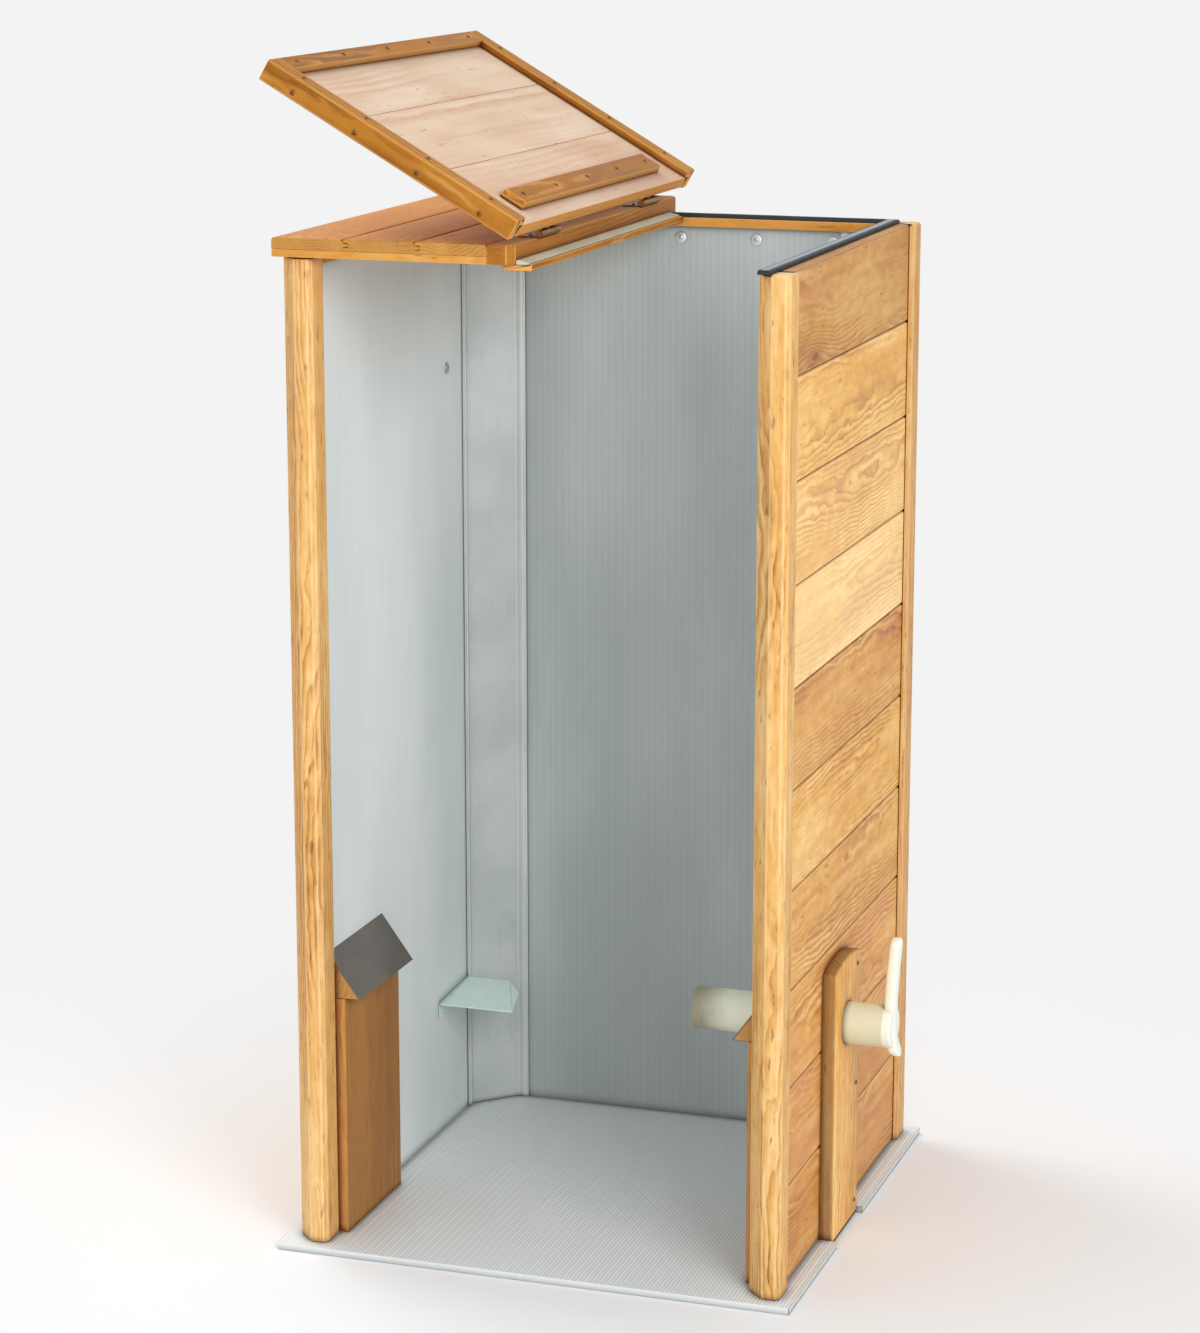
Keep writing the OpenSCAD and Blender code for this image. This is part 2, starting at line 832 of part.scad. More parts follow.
// A row across the back lining, and a pair on each side lining and its corner profile
module lining_screws() {
    row_end = lining_x - corner_leg - corner_flange - washer_r - washer_clear;
    low_z = lining_z1 - side_screw_drop;
    color("#C9CDCF") {
        for (i = [-2:2])
            translate([i * row_end / 2, lining_y, lining_z1 - screw_row_drop])
                rotate([90, 0, 0]) washer_screw();
        for (s = [-1, 1]) {
            translate([s * lining_x, lining_y - side_screw_in, low_z])
                rotate([0, -s * 90, 0]) washer_screw();
            translate([s * (lining_x - corner_t), lining_y - corner_leg - corner_flange / 2, low_z])
                rotate([0, -s * 90, 0]) screw_head();
        }
    }
}

module cover_screws() {
    inset = cover_screw_inset;
    pitch = (cover_h - cover_arch - 2 * inset) / 2;
    color("#C9CDCF")
        for (i = [0:2])
            translate([cover_x, tube_y + cover_w / 2 - inset, base_t + inset + i * pitch])
                rotate([0, 90, 0]) screw_head();
}

// Heads along the two battens, under the rails and on their outer faces
module lid_screws() {
    under = lid_under - lid_frame_t;
    color("#9A9C9E")
        lid_pose() {
            for (i = [-2:2]) {
                translate([near_x0 + near_batten_w / 2, i * (near_y - lid_screw_inset) / 2, under])
                    mirror([0, 0, 1]) screw_head();
                translate([lid_x1 - far_batten_w / 2, i * (lid_in_y - lid_screw_inset) / 2, under])
                    mirror([0, 0, 1]) screw_head();
            }
            for (s = [-1, 1], i = [0:rail_screws - 1]) {
                x = lid_x0 + lid_len * (i + 0.5) / rail_screws;
                translate([x, s * (lid_y - lid_rail_w / 2), under])
                    mirror([0, 0, 1]) screw_head();
                translate([x, s * lid_y, lid_under + lid_board_t / 2])
                    rotate([-s * 90, 0, 0]) screw_head();
            }
        }
}

base_sheet();
post(-1, -1);  // post_front_left
post(1, -1);  // post_front_right
post(-1, 1);  // post_back_left
post(1, 1);  // post_back_right
for (i = [0:wall_boards - 1])
    plank_right(i);
planks_left();
planks_back();
lining_left();
lining_right();
lining_back();
corner_profile();  // corner_profile_left
mirror([1, 0, 0]) corner_profile();  // corner_profile_right
top_rail_left();
top_rail_right();
top_rail_back();
wall_seal();
for (i = [0:roof_boards - 1])
    roof_board(i);
roof_battens();
hinge_beam();
seal_ledge();
ledge_seal();
for (i = [0:lid_boards - 1])
    lid_board(i);
lid_rail_front();
lid_rail_back();
lid_far_batten();
lid_near_batten();
hinge_leaves_roof();
hinge_leaves_lid();
hinge_pins();
hinge_screws_roof();
hinge_screws_lid();
duct_left();
duct_right();
duct_cap_left();
duct_cap_right();
duct_sheet_left();
duct_sheet_right();
corner_deflector();
cover_board();
tube_bush();
air_tube();
lever();
lining_screws();
cover_screws();
lid_screws();
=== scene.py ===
"""Looks of a tall wooden compost bin with a hinged lid and a turning air tube.

Timber is made of prisms: an outline with eased corners, carried along a straight run.
Fluted sheets are rippled skins on thin webs. Round pieces are profiles turned about an axis.
All lengths are metres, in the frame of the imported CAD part.
"""

import logging
import math
from dataclasses import dataclass
from enum import Enum
from functools import cache
from typing import Callable, Sequence

import bpy
import numpy as np
from mathutils import Matrix, Vector


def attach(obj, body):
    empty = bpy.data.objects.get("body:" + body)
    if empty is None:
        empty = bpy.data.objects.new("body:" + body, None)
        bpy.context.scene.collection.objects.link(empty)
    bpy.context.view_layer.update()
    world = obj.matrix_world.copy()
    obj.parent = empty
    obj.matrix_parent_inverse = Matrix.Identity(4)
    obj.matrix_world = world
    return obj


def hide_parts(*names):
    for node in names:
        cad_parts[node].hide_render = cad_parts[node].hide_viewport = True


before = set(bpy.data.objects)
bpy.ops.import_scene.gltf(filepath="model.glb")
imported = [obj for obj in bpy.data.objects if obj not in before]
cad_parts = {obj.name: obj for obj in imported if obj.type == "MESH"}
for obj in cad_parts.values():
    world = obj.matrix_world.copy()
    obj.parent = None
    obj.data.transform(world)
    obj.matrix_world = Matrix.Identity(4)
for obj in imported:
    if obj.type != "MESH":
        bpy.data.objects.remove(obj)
log = logging.getLogger("compost_bin")

Array = np.ndarray
Material = bpy.types.Material
Piece = bpy.types.Object
Socket = bpy.types.NodeSocket
Span = tuple[float, float]
Spot = Sequence[float]
Feed = "Term | float | Spot | str"

SIDES = (("left", -1), ("right", 1))
UP, RIGHTWARD = (0.0, 0.0, 1.0), (1.0, 0.0, 0.0)
SHARP = math.radians(34)
POLE = 1e-5
TUBE_STEPS = 72


class Body(Enum):
    """The bodies of the frame that pieces ride on."""

    BIN = "bin"
    LID = "lid"
    TUBE = "tube"


class Slot(Enum):
    """The record's material slots."""

    HONEY = "honey_wood"
    AMBER = "amber_wood"
    PALE = "pale_wood"
    DUCT = "duct_wood"
    BASE = "base_sheet"
    LINING = "lining"
    CORNER = "corner_profile"
    SEAL = "seal"
    LEDGE_SEAL = "ledge_seal"
    CAP_SHEET = "cap_sheet"
    DEFLECTOR = "deflector"
    SCREWS = "screws"
    TUBE = "tube"
    LEVER = "lever"


class Lie(Enum):
    """The frame axes of a member's thickness, its width and its length."""

    ALONG_X = (1, 2, 0)
    ALONG_Y = (0, 2, 1)
    FLAT_ALONG_Y = (2, 0, 1)
    UPRIGHT = (0, 1, 2)


@dataclass(frozen=True)
class Plan:
    """Lengths that sub-assemblies share, from the middle of the bin or from the ground."""

    foot: float = 0.010
    wall_top: float = 1.460
    wall_face: float = 0.362
    wall_thick: float = 0.020
    lining_back: float = 0.342
    lining_face: float = 0.332
    lining_half: float = 0.319
    tube_axis: Span = (-0.052, 0.325)
    tube_bore: float = 0.0358


PLAN = Plan()


# ---- Shapes


@dataclass
class Outline:
    """A closed outline in a member's thickness and width, and the wear at each of its points, which the finishes
    also paint as a highlight.
    """

    points: Array
    wear: Array

    def inwards(self) -> Array:
        """Unit vectors into the outline, square to the line through each point's neighbours.

        Returns:
            One vector for each point.
        """
        after = np.roll(self.points, -1, axis=0)
        chord = after - np.roll(self.points, 1, axis=0)
        normal = np.stack([-chord[:, 1], chord[:, 0]], axis=1)
        area = np.sum(self.points[:, 0] * after[:, 1] - self.points[:, 1] * after[:, 0])
        return normal * np.sign(area) / np.maximum(np.linalg.norm(normal, axis=1, keepdims=True), 1e-9)


@dataclass
class Shell:
    """Closed surfaces with what the finishes read from their points.

    grain is a point's place in its own board: along, across and through it, counted from the heart
    of the log. tone is the board's brightness, its redness, and the wear at the point, also used for painted
    highlights.
    """

    points: Array
    quads: Array
    caps: list[Array]
    grain: Array
    tone: Array

    def volume(self) -> float:
        """Signed volume, the sum of the tetrahedra between the origin and each triangle.

        Returns:
            The volume, below 0 where the faces look inwards.
        """
        fans = [np.stack([np.full(len(c) - 2, c[0]), c[1:-1], c[2:]], axis=1) for c in self.caps]
        tris = np.concatenate([self.quads[:, [0, 1, 2]], self.quads[:, [0, 2, 3]], *fans])
        a, b, c = (self.points[tris[:, i]] for i in range(3))
        return float(np.einsum("ij,ij->i", a, np.cross(b, c)).sum() / 6)

    def outward(self) -> "Shell":
        """Turns every face round if the signed volume is negative.

        Returns:
            The same shell.
        """
        if self.volume() < 0:
            self.quads = self.quads[:, ::-1]
            self.caps = [c[::-1] for c in self.caps]
        return self

    def moved(self, matrix: Matrix) -> "Shell":
        """Puts the points through a 4 x 4 matrix, and returns the shell."""
        self.points = self.points @ np.array(matrix.to_3x3()).T + np.array(matrix.translation)
        return self

    def mesh(self, name: str) -> bpy.types.Mesh:
        """Makes a mesh of the shell.

        Args:
            name: Name of the mesh.

        Returns:
            The new mesh.
        """
        made = bpy.data.meshes.new(name)
        made.from_pydata(self.points.tolist(), [], [*self.quads.tolist(), *(c.tolist() for c in self.caps)])
        return made


def joined(shells: Sequence[Shell]) -> Shell:
    """Puts shells together, with each one's face numbers raised by the points before it.

    Args:
        shells: The shells, in order.

    Returns:
        One shell with all their points.
    """
    starts = np.cumsum([0, *(len(s.points) for s in shells[:-1])])
    return Shell(
        np.concatenate([s.points for s in shells]),
        np.concatenate([s.quads + n for s, n in zip(shells, starts)]),
        [c + n for s, n in zip(shells, starts) for c in s.caps],
        np.concatenate([s.grain for s in shells]),
        np.concatenate([s.tone for s in shells]),
    )


def eased(corners: Sequence[Spot] | Array, radius: float | Array, steps: int = 3) -> Outline:
    """Rounds an outline's corners.

    At a corner C the curve (1 - t)^2 P + 2 t (1 - t) C + t^2 Q runs from P, a radius back along one
    edge, to Q, a radius on along the next. The wear is sin(pi t), so it peaks on the arris, where the finishes paint
    wear and a highlight.

    Args:
        corners: The corners in order.
        radius: The easing, cut to 0.45 of the shorter edge beside it.
        steps: Segments of each curve.

    Returns:
        The rounded outline.
    """
    c = np.asarray(corners, dtype=float)
    back, on = np.roll(c, 1, axis=0) - c, np.roll(c, -1, axis=0) - c
    back_len, on_len = (np.linalg.norm(v, axis=1) for v in (back, on))
    reach = np.minimum(radius, 0.45 * np.minimum(back_len, on_len))[:, None]
    p, q = c + back / back_len[:, None] * reach, c + on / on_len[:, None] * reach
    t = np.linspace(0, 1, steps + 1)[None, :, None]
    curve = (1 - t) ** 2 * p[:, None] + 2 * t * (1 - t) * c[:, None] + t**2 * q[:, None]
    return Outline(curve.reshape(-1, 2), np.tile(np.sin(np.pi * t[0, :, 0]), len(c)))


def loft(rings: Array, looped: bool = False, capped: bool = True) -> tuple[Array, list[Array]]:
    """Quads between neighbouring rings: each joins points k and k + 1 of rings j and j + 1.

    Args:
        rings: Points as rings by points by 3.
        looped: Joins the last ring to the first.
        capped: Closes the two end rings with one face each.

    Returns:
        The quads and the caps, as point numbers.
    """
    m, n = rings.shape[:2]
    j, k = np.meshgrid(np.arange(m if looped else m - 1), np.arange(n), indexing="ij")
    j2, k2 = (j + 1) % m, (k + 1) % n
    quads = np.stack([j * n + k, j * n + k2, j2 * n + k2, j2 * n + k], axis=-1).reshape(-1, 4)
    caps = [np.arange(n)[::-1], np.arange(n) + (m - 1) * n] if capped and not looped else []
    return quads, caps


def plain_shell(rings: Array, looped: bool = False, wear: float = 0.0) -> Shell:
    """Closes rings of points to a shell, its faces outwards and its grain its place in the frame."""
    points, (quads, caps) = rings.reshape(-1, 3), loft(rings, looped)
    return Shell(points, quads, caps, points.copy(), np.tile([1.0, 0.0, wear], (len(points), 1))).outward()


def carried(outline: Outline, at: Spot, insets: Spot, lie: Lie) -> Shell:
    """Carries an outline along a straight line and draws it in by an inset at each station.

    Args:
        outline: Outline in thickness and width, in frame coordinates.
        at: Places of the stations along the length.
        insets: How far the outline is drawn in at each station.
        lie: Frame axes of thickness, width and length.

    Returns:
        The closed shell; its grain counts along, across and through it.
    """
    drawn = np.asarray(insets)[:, None, None]
    flat = outline.points[None] + outline.inwards()[None] * drawn
    along = np.broadcast_to(np.asarray(at)[:, None], flat.shape[:2])
    rings = np.empty((*flat.shape[:2], 3))
    for axis, values in zip(lie.value, (flat[..., 0], flat[..., 1], along)):
        rings[..., axis] = values
    shell = plain_shell(rings)
    shell.tone[:, 2] = np.maximum(outline.wear[None], (drawn[..., 0] > 0) * 0.8).ravel()
    shell.grain = np.stack([along, flat[..., 1], flat[..., 0]], axis=-1).reshape(-1, 3)
    return shell


def prism(outline: Outline, run: Span, lie: Lie, ease: Span = (8e-4, 8e-4)) -> Shell:
    """Carries an outline along a run, drawn in by a bevel at each end."""
    at = (run[0], run[0] + ease[0], run[1] - ease[1], run[1])
    return carried(outline, at, (ease[0], 0.0, 0.0, ease[1]), lie)


def sawn(shell: Shell, seed: int, bright: float = 1.0, red: float = 0.0, deep: float = 0.055) -> Shell:
    """Cuts a prism out of its own log: grain is counted from a heart beside the board's middle.

    Args:
        shell: The prism of one board.
        seed: Picks the place of the heart and the stretch of the log.
        bright: Brightness of the board.
        red: Redness of the board, 0 to 1; below 0 it is paler.
        deep: Mean distance of the heart from the board.

    Returns:
        The same shell.
    """
    rng = np.random.default_rng(seed)
    lo, hi = shell.grain.min(axis=0), shell.grain.max(axis=0)
    across = rng.uniform(-0.3, 0.3) * (hi - lo)[1]
    through = rng.choice([-1, 1]) * rng.uniform(0.6, 1.4) * deep
    heart = (lo + hi) / 2 + np.array([0, across, through])
    shell.grain = shell.grain - heart + np.array([rng.uniform(1, 60), 0, 0])
    shell.tone[:, 0] = bright * rng.uniform(0.97, 1.03)
    shell.tone[:, 1] = np.clip(red + rng.uniform(0, 0.15), -1, 1)
    return shell


def bar(lo: Spot, hi: Spot, lie: Lie, seed: int, bright: float = 1.0, arris: float = 0.0012) -> Shell:
    """Makes a sawn timber of rectangular section that fills a box.

    Args:
        lo: Low corner of the box.
        hi: High corner of the box.
        lie: Frame axes of thickness, width and length.
        seed: Picks the log.
        bright: Brightness of the timber.
        arris: Easing of its long edges.

    Returns:
        The timber.
    """
    u, v, w = lie.value
    corners = [(lo[u], lo[v]), (hi[u], lo[v]), (hi[u], hi[v]), (lo[u], hi[v])]
    return sawn(prism(eased(corners, arris), (lo[w], hi[w]), lie), seed, bright)


def boxes(lo: Array, hi: Array) -> Shell:
    """Makes plain boxes: a corner takes the low side along an axis where its bit is 0, else the high side.

    Args:
        lo: Low corner of each box.
        hi: High corner of each box.

    Returns:
        All boxes as one shell.
    """
    bits = np.array([(0, 0, 0), (1, 0, 0), (1, 1, 0), (0, 1, 0), (0, 0, 1), (1, 0, 1), (1, 1, 1), (0, 1, 1)])
    sides = np.array([(0, 3, 2, 1), (4, 5, 6, 7), (0, 1, 5, 4), (1, 2, 6, 5), (2, 3, 7, 6), (3, 0, 4, 7)])
    points = (lo[:, None] + (hi - lo)[:, None] * bits[None]).reshape(-1, 3)
    quads = (sides[None] + 8 * np.arange(len(lo))[:, None, None]).reshape(-1, 4)
    return Shell(points, quads, [], points.copy(), np.tile([1.0, 0.0, 0.0], (len(points), 1))).outward()


def turned(profile: Sequence[Spot], origin: Spot, axis: Spot, steps: int, looped: bool = False) -> Shell:
    """Turns a profile about an axis.

    A profile point (h, r) becomes origin + h * axis + r * (cos a * e1 + sin a * e2), with e1 and e2
    square to the axis and a going round in even steps.

    Args:
        profile: Height along the axis and radius of each point.
        origin: A point of the axis.
        axis: Unit direction of the axis.
        steps: Points round the axis.
        looped: The profile is a closed loop, as of a tube's wall.

    Returns:
        The closed shell.
    """
    way = np.asarray(axis, dtype=float)
    e1 = np.cross(way, (0.0, 0.0, 1.0) if abs(way[2]) < 0.9 else (0.0, 1.0, 0.0))
    e1 /= np.linalg.norm(e1)
    e2 = np.cross(way, e1)
    a = np.linspace(0, 2 * np.pi, steps, endpoint=False)
    spokes = np.cos(a)[:, None] * e1 + np.sin(a)[:, None] * e2
    h, r = np.asarray(profile).T[:, :, None, None]
    return plain_shell(np.asarray(origin) + h * way + r * spokes[None], looped)


def scattered(shell: Shell, places: Array, ways: Array, spin: float = 2.4) -> Shell:
    """Copies a shell drawn about +Z to each place, turned so that +Z points the given way.

    Args:
        shell: The shell to copy.
        places: Where each copy stands.
        ways: Where each copy points.
        spin: Angle about its own axis that each copy has more than the one before.

    Returns:
        All copies as one shell.
    """
    copies = []
    for i, (place, way) in enumerate(zip(places, ways)):
        tilt = Vector(UP).rotation_difference(Vector(way)).to_matrix().to_4x4()
        copy = Shell(shell.points.copy(), shell.quads, shell.caps, shell.grain, shell.tone)
        copies.append(copy.moved(Matrix.Translation(place) @ tilt @ Matrix.Rotation(spin * i, 4, "Z")))
    return joined(copies)


def screw_head() -> Shell:
    """Makes a domed head with a sunk round drive, about +Z: the dome is an arc up to the drive.

    Returns:
        The head.
    """
    radius, height, a = 0.0035, 0.0015, np.linspace(0, 1, 5)
    dome = np.stack([height * (0.35 + 0.65 * np.sin(a * np.pi / 2)), radius * (1 - 0.55 * a**1.6)], axis=1)
    sunk = [(height * 0.45, radius * 0.38), (height * 0.35, radius * 0.2), (height * 0.35, POLE)]
    return turned([(0, POLE), (0, radius * 0.96), *dome, *sunk], (0, 0, 0), UP, 20)


@dataclass(frozen=True)
class Matchboards:
    """A row of tongue-and-groove boards.

    face is the place of the weather face along the thickness, and way is +1 or -1, from there
    inwards. The boards cover the row from start on, each as wide as cover.
    """

    face: float
    way: int
    thick: float
    start: float
    cover: float
    count: int
    tongue: float = 0.006
    reach: float = 0.008
    slack: float = 4e-4
    taper: float = 0.001
    bevel: float = 0.003
    arris: float = 0.0008
    radius: float = 0.0009

    def section(self, n: int) -> Outline:
        """Section of board n, with a groove below unless it is the first, and a tongue unless the last.

        Args:
            n: Number of the board, from 0.

        Returns:
            The section in thickness and width.
        """
        low, high = (self.thick - self.tongue) / 2, (self.thick + self.tongue) / 2
        s, t, c, e, wide, deep = self.slack, self.taper, self.bevel, self.arris, self.cover, self.reach
        groove = [(low - s, 0), (low - s, deep + s), (high + s, deep + s), (high + s, 0)] if n > 0 else []
        tongue = [(high, wide), (high - t, wide + deep), (low + t, wide + deep), (low, wide)]
        tongue = tongue if n < self.count - 1 else []
        corners = [(0, c), (c, 0), *groove, (self.thick - e, 0), (self.thick, e), (self.thick, wide - e)]
        corners = np.array([*corners, (self.thick - e, wide), *tongue, (c, wide), (0, wide - c)])
        start = self.start + n * wide
        return eased(np.stack([self.face + self.way * corners[:, 0], start + corners[:, 1]], axis=1), self.radius)


@dataclass(frozen=True)
class Fluting:
    """Twin-wall sheet: two skins joined by webs, with samples steps to a flute.

    The outer side of each skin dips between the webs by dip * (1 - cos(2 pi n)) / 2, where n is the
    flute number (place - zero) / pitch.
    """

    pitch: float = 0.011
    skin: float = 0.001
    dip: float = 0.00025
    samples: int = 6

    def sheet(self, across: Span, along: Span, thick: Span, lie: Lie, zero: float) -> Shell:
        """Makes a sheet, whose grain has the flute number as its second part.

        Args:
            across: Limits across the flutes.
            along: Limits along the flutes.
            thick: Limits through the sheet.
            lie: Frame axes of thickness, width and length.
            zero: Place across the flutes of web number 0.

        Returns:
            The skins and webs as one shell.
        """
        pitch, skin, parts = self.pitch, self.skin, []
        v = np.linspace(*across, int((across[1] - across[0]) / pitch * self.samples) + 2)
        dip = self.dip * (1 - np.cos(2 * np.pi * (v - zero) / pitch)) / 2
        for side, inner in ((thick[0], thick[0] + skin), (thick[1], thick[1] - skin)):
            outer = np.stack([side + np.sign(inner - side) * dip, v], axis=1)
            points = np.concatenate([outer, np.stack([np.full_like(v, inner), v], axis=1)[::-1]])
            parts.append(prism(Outline(points, np.zeros(len(points))), along, lie, (1e-4, 1e-4)))
        first, last = ((limit - zero) / pitch for limit in across)
        at = zero + np.arange(math.ceil(first), math.floor(last) + 1) * pitch
        at = np.clip(at, across[0] + skin / 2, across[1] - skin / 2)
        lo, hi = np.empty((2, len(at), 3))
        a, b, c = lie.value
        lo[:, a], hi[:, a] = thick[0] + skin * 0.9, thick[1] - skin * 0.9
        lo[:, b], hi[:, b] = at - skin / 2, at + skin / 2
        lo[:, c], hi[:, c] = along[0] + 3e-4, along[1] - 3e-4
        webs = boxes(lo, hi)
        webs.grain = webs.points[:, [c, b, a]]
        whole = joined([*parts, webs])
        whole.grain[:, 1] = (whole.grain[:, 1] - zero) / pitch
        return whole


FLUTING = Fluting()


# ---- Finishes


def linear(code: str) -> tuple[float, float, float, float]:
    """Linear colour of #RRGGBB: c / 12.92 below 0.04045, else ((c + 0.055) / 1.055) ^ 2.4; alpha is 1."""
    c = np.array([int(code[i : i + 2], 16) / 255 for i in (1, 3, 5)])
    return (*np.where(c <= 0.04045, c / 12.92, ((c + 0.055) / 1.055) ** 2.4).tolist(), 1.0)


def operator(operation: str, swapped: bool = False) -> Callable[["Term", Feed], "Term"]:
    """The method of a term that adds the arithmetic node of that name."""
    return lambda term, other: term.worked(operation, other, swapped)


@dataclass(frozen=True)
class Term:
    """A value in a node tree; arithmetic on it adds the nodes that work out the result."""

    nodes: "Nodes"
    socket: Socket

    def worked(self, operation: str, other: Feed = 0.0, swapped: bool = False, clamp: bool = False) -> "Term":
        """Adds one step of arithmetic, on three parts at once for a vector or a colour.

        Args:
            operation: Blender's name of the step.
            other: The second operand; a number stands for all three parts.
            swapped: Takes the operands the other way round.
            clamp: Cuts a plain result to 0 to 1.

        Returns:
            The result.
        """
        kind, settings = "Math", {"operation": operation, "use_clamp": clamp}
        if self.socket.type != "VALUE":
            kind, settings = "VectorMath", {"operation": operation}
            other = (other,) * 3 if isinstance(other, (int, float)) else other
        pair = (other, self) if swapped else (self, other)
        return self.nodes.out(kind, dict(enumerate(pair)), **settings)

    __add__, __sub__, __mul__ = operator("ADD"), operator("SUBTRACT"), operator("MULTIPLY")
    __truediv__, __pow__ = operator("DIVIDE"), operator("POWER")
    __rsub__ = operator("SUBTRACT", swapped=True)

    def parts(self) -> list["Term"]:
        """The three parts of a vector."""
        return [Term(self.nodes, out) for out in self.nodes.node("SeparateXYZ", {0: self}).outputs]

    def length(self) -> "Term":
        """Length of a vector."""
        return self.nodes.out("VectorMath", {0: self}, "Value", operation="LENGTH")

    def noise(self, stretch: Spot, detail: float = 2.0, rough: float = 0.5, output: str = "Fac") -> "Term":
        """Noise in cells 1 / stretch wide along each axis; its Color is three values around 0.5."""
        feeds = {"Vector": self * stretch, "Scale": 1.0, "Detail": detail, "Roughness": rough}
        return self.nodes.out("TexNoise", feeds, output)

    def sway(self, stretch: Spot, reach: Spot, detail: float) -> "Term":
        """A vector that wanders from place to place by about half the reach along each axis."""
        return (self.noise(stretch, detail, output="Color") - 0.5) * reach

    def step(self, lo: float, hi: float, start: float = 0.0, end: float = 1.0) -> "Term":
        """Smooth step from start to end as the value goes from lo to hi."""
        feeds = {"Value": self, "From Min": lo, "From Max": hi, "To Min": start, "To Max": end}
        return self.nodes.out("MapRange", feeds, interpolation_type="SMOOTHSTEP")


class Nodes:
    """A node tree, with short calls for the nodes that materials and the world share."""

    def __init__(self, tree: bpy.types.NodeTree) -> None:
        """Empties the tree."""
        self.tree = tree
        tree.nodes.clear()

    def feed(self, socket: Socket, value: Feed) -> None:
        """Links a socket to a term, or sets it to a constant or a hex colour.

        Args:
            socket: The input to feed.
            value: The term, constant or colour.
        """
        if isinstance(value, Term):
            self.tree.links.new(value.socket, socket)
        else:
            socket.default_value = linear(value) if isinstance(value, str) else value

    def node(self, kind: str, feeds: dict[int | str, Feed], **settings: object) -> bpy.types.Node:
        """Adds a node.

        Args:
            kind: Blender's name of the node, without ShaderNode.
            feeds: What goes into its inputs, by name or number.
            settings: Its other settings.

        Returns:
            The node.
        """
        made = self.tree.nodes.new("ShaderNode" + kind)
        for key, value in settings.items():
            setattr(made, key, value)
        for key, value in feeds.items():
            self.feed(made.inputs[key], value)
        return made

    def out(self, kind: str, feeds: dict[int | str, Feed], output: int | str = 0, **settings: object) -> Term:
        """Adds a node as node() does, and returns one of its outputs."""
        return Term(self, self.node(kind, feeds, **settings).outputs[output])

    def blend(self, factor: Feed, a: Feed, b: Feed, mode: str = "MIX") -> Term:
        """Mixes two colours."""
        return self.out("Mix", {0: factor, 6: a, 7: b}, 2, data_type="RGBA", blend_type=mode, clamp_factor=True)

    def seen(self) -> Term:
        """Picks out the rays that show the backdrop.

        Returns:
            1 on rays from the camera, off gloss and through glass, else 0.
        """
        path = self.node("LightPath", {}).outputs
        kinds = ("Camera", "Glossy", "Transmission")
        camera, glossy, through = (Term(self, path[f"Is {kind} Ray"]) for kind in kinds)
        return camera.worked("MAXIMUM", glossy.worked("MAXIMUM", through))


class Recipe(Nodes):
    """The nodes of one material, round a principled shader."""

    def __init__(self, name: str) -> None:
        """Starts a material with its shader and output.

        Args:
            name: Name of the material.
        """
        self.material = bpy.data.materials.new(name)
        self.material.use_nodes = True
        super().__init__(self.material.node_tree)
        self.shader = self.node("BsdfPrincipled", {})
        self.output = self.node("OutputMaterial", {"Surface": Term(self, self.shader.outputs[0])})

    def attribute(self, name: str) -> Term:
        """A vector that is kept on the mesh."""
        return self.out("Attribute", {}, "Vector", attribute_name=name)

    def place(self) -> Term:
        """The place on the piece, in Object coordinates."""
        return self.out("TexCoord", {}, "Object")

    def clouded(self, cloud: Term, light: str, shade: str) -> Term:
        """A colour that goes from light to shade with a noise."""
        return self.blend(cloud.step(0.3, 0.7), light, shade)

    def ramp(self, value: Term, stops: Sequence[tuple[float, str]]) -> Term:
        """Turns a value into a colour.

        Args:
            value: The value, 0 to 1.
            stops: Rising values, each with its hex colour.

        Returns:
            The colour.
        """
        made = self.node("ValToRGB", {0: value})
        elements = made.color_ramp.elements
        while len(elements) < len(stops):
            elements.new(1.0)
        for element, (at, code) in zip(elements, stops):
            element.position, element.color = at, linear(code)
        return Term(self, made.outputs[0])

    def painted_crevice_shade(self, reach: float, colour: Term, dark: str) -> Term:
        """Paints shade into crevices: multiplies a colour by a dark one where other surfaces are closer than the
        reach.
        """
        closed = self.out("AmbientOcclusion", {"Distance": reach}, "AO", samples=6).step(0.35, 0.95, 1.0, 0.0)
        return self.blend(closed, colour, self.blend(1.0, colour, dark, "MULTIPLY"))

    def finish(self, colour: Term, rough: Term, height: Term, depth: float, **inputs: float) -> Material:
        """Feeds the shader.

        Args:
            colour: Base colour.
            rough: Roughness.
            height: Height of the bump, as a share of its depth.
            depth: Depth of the bump.
            inputs: The shader's other inputs, with _ for a space.

        Returns:
            The material.
        """
        bump = self.out("Bump", {"Strength": 1.0, "Distance": depth, "Height": height})
        for key, value in {"Base_Color": colour, "Roughness": rough, "Normal": bump, **inputs}.items():
            self.feed(self.shader.inputs[key.replace("_", " ")], value)
        return self.material


@dataclass(frozen=True)
class Finish:
    """A named finish, whose material is made at its first use and then shared."""

    name: str

    @cache
    def material(self) -> Material:
        """The finish's material."""
        return self.laid(Recipe(self.name))

    def laid(self, r: Recipe) -> Material:
        """Lays the finish's nodes and returns the material; each kind of finish has its own way."""
        raise NotImplementedError


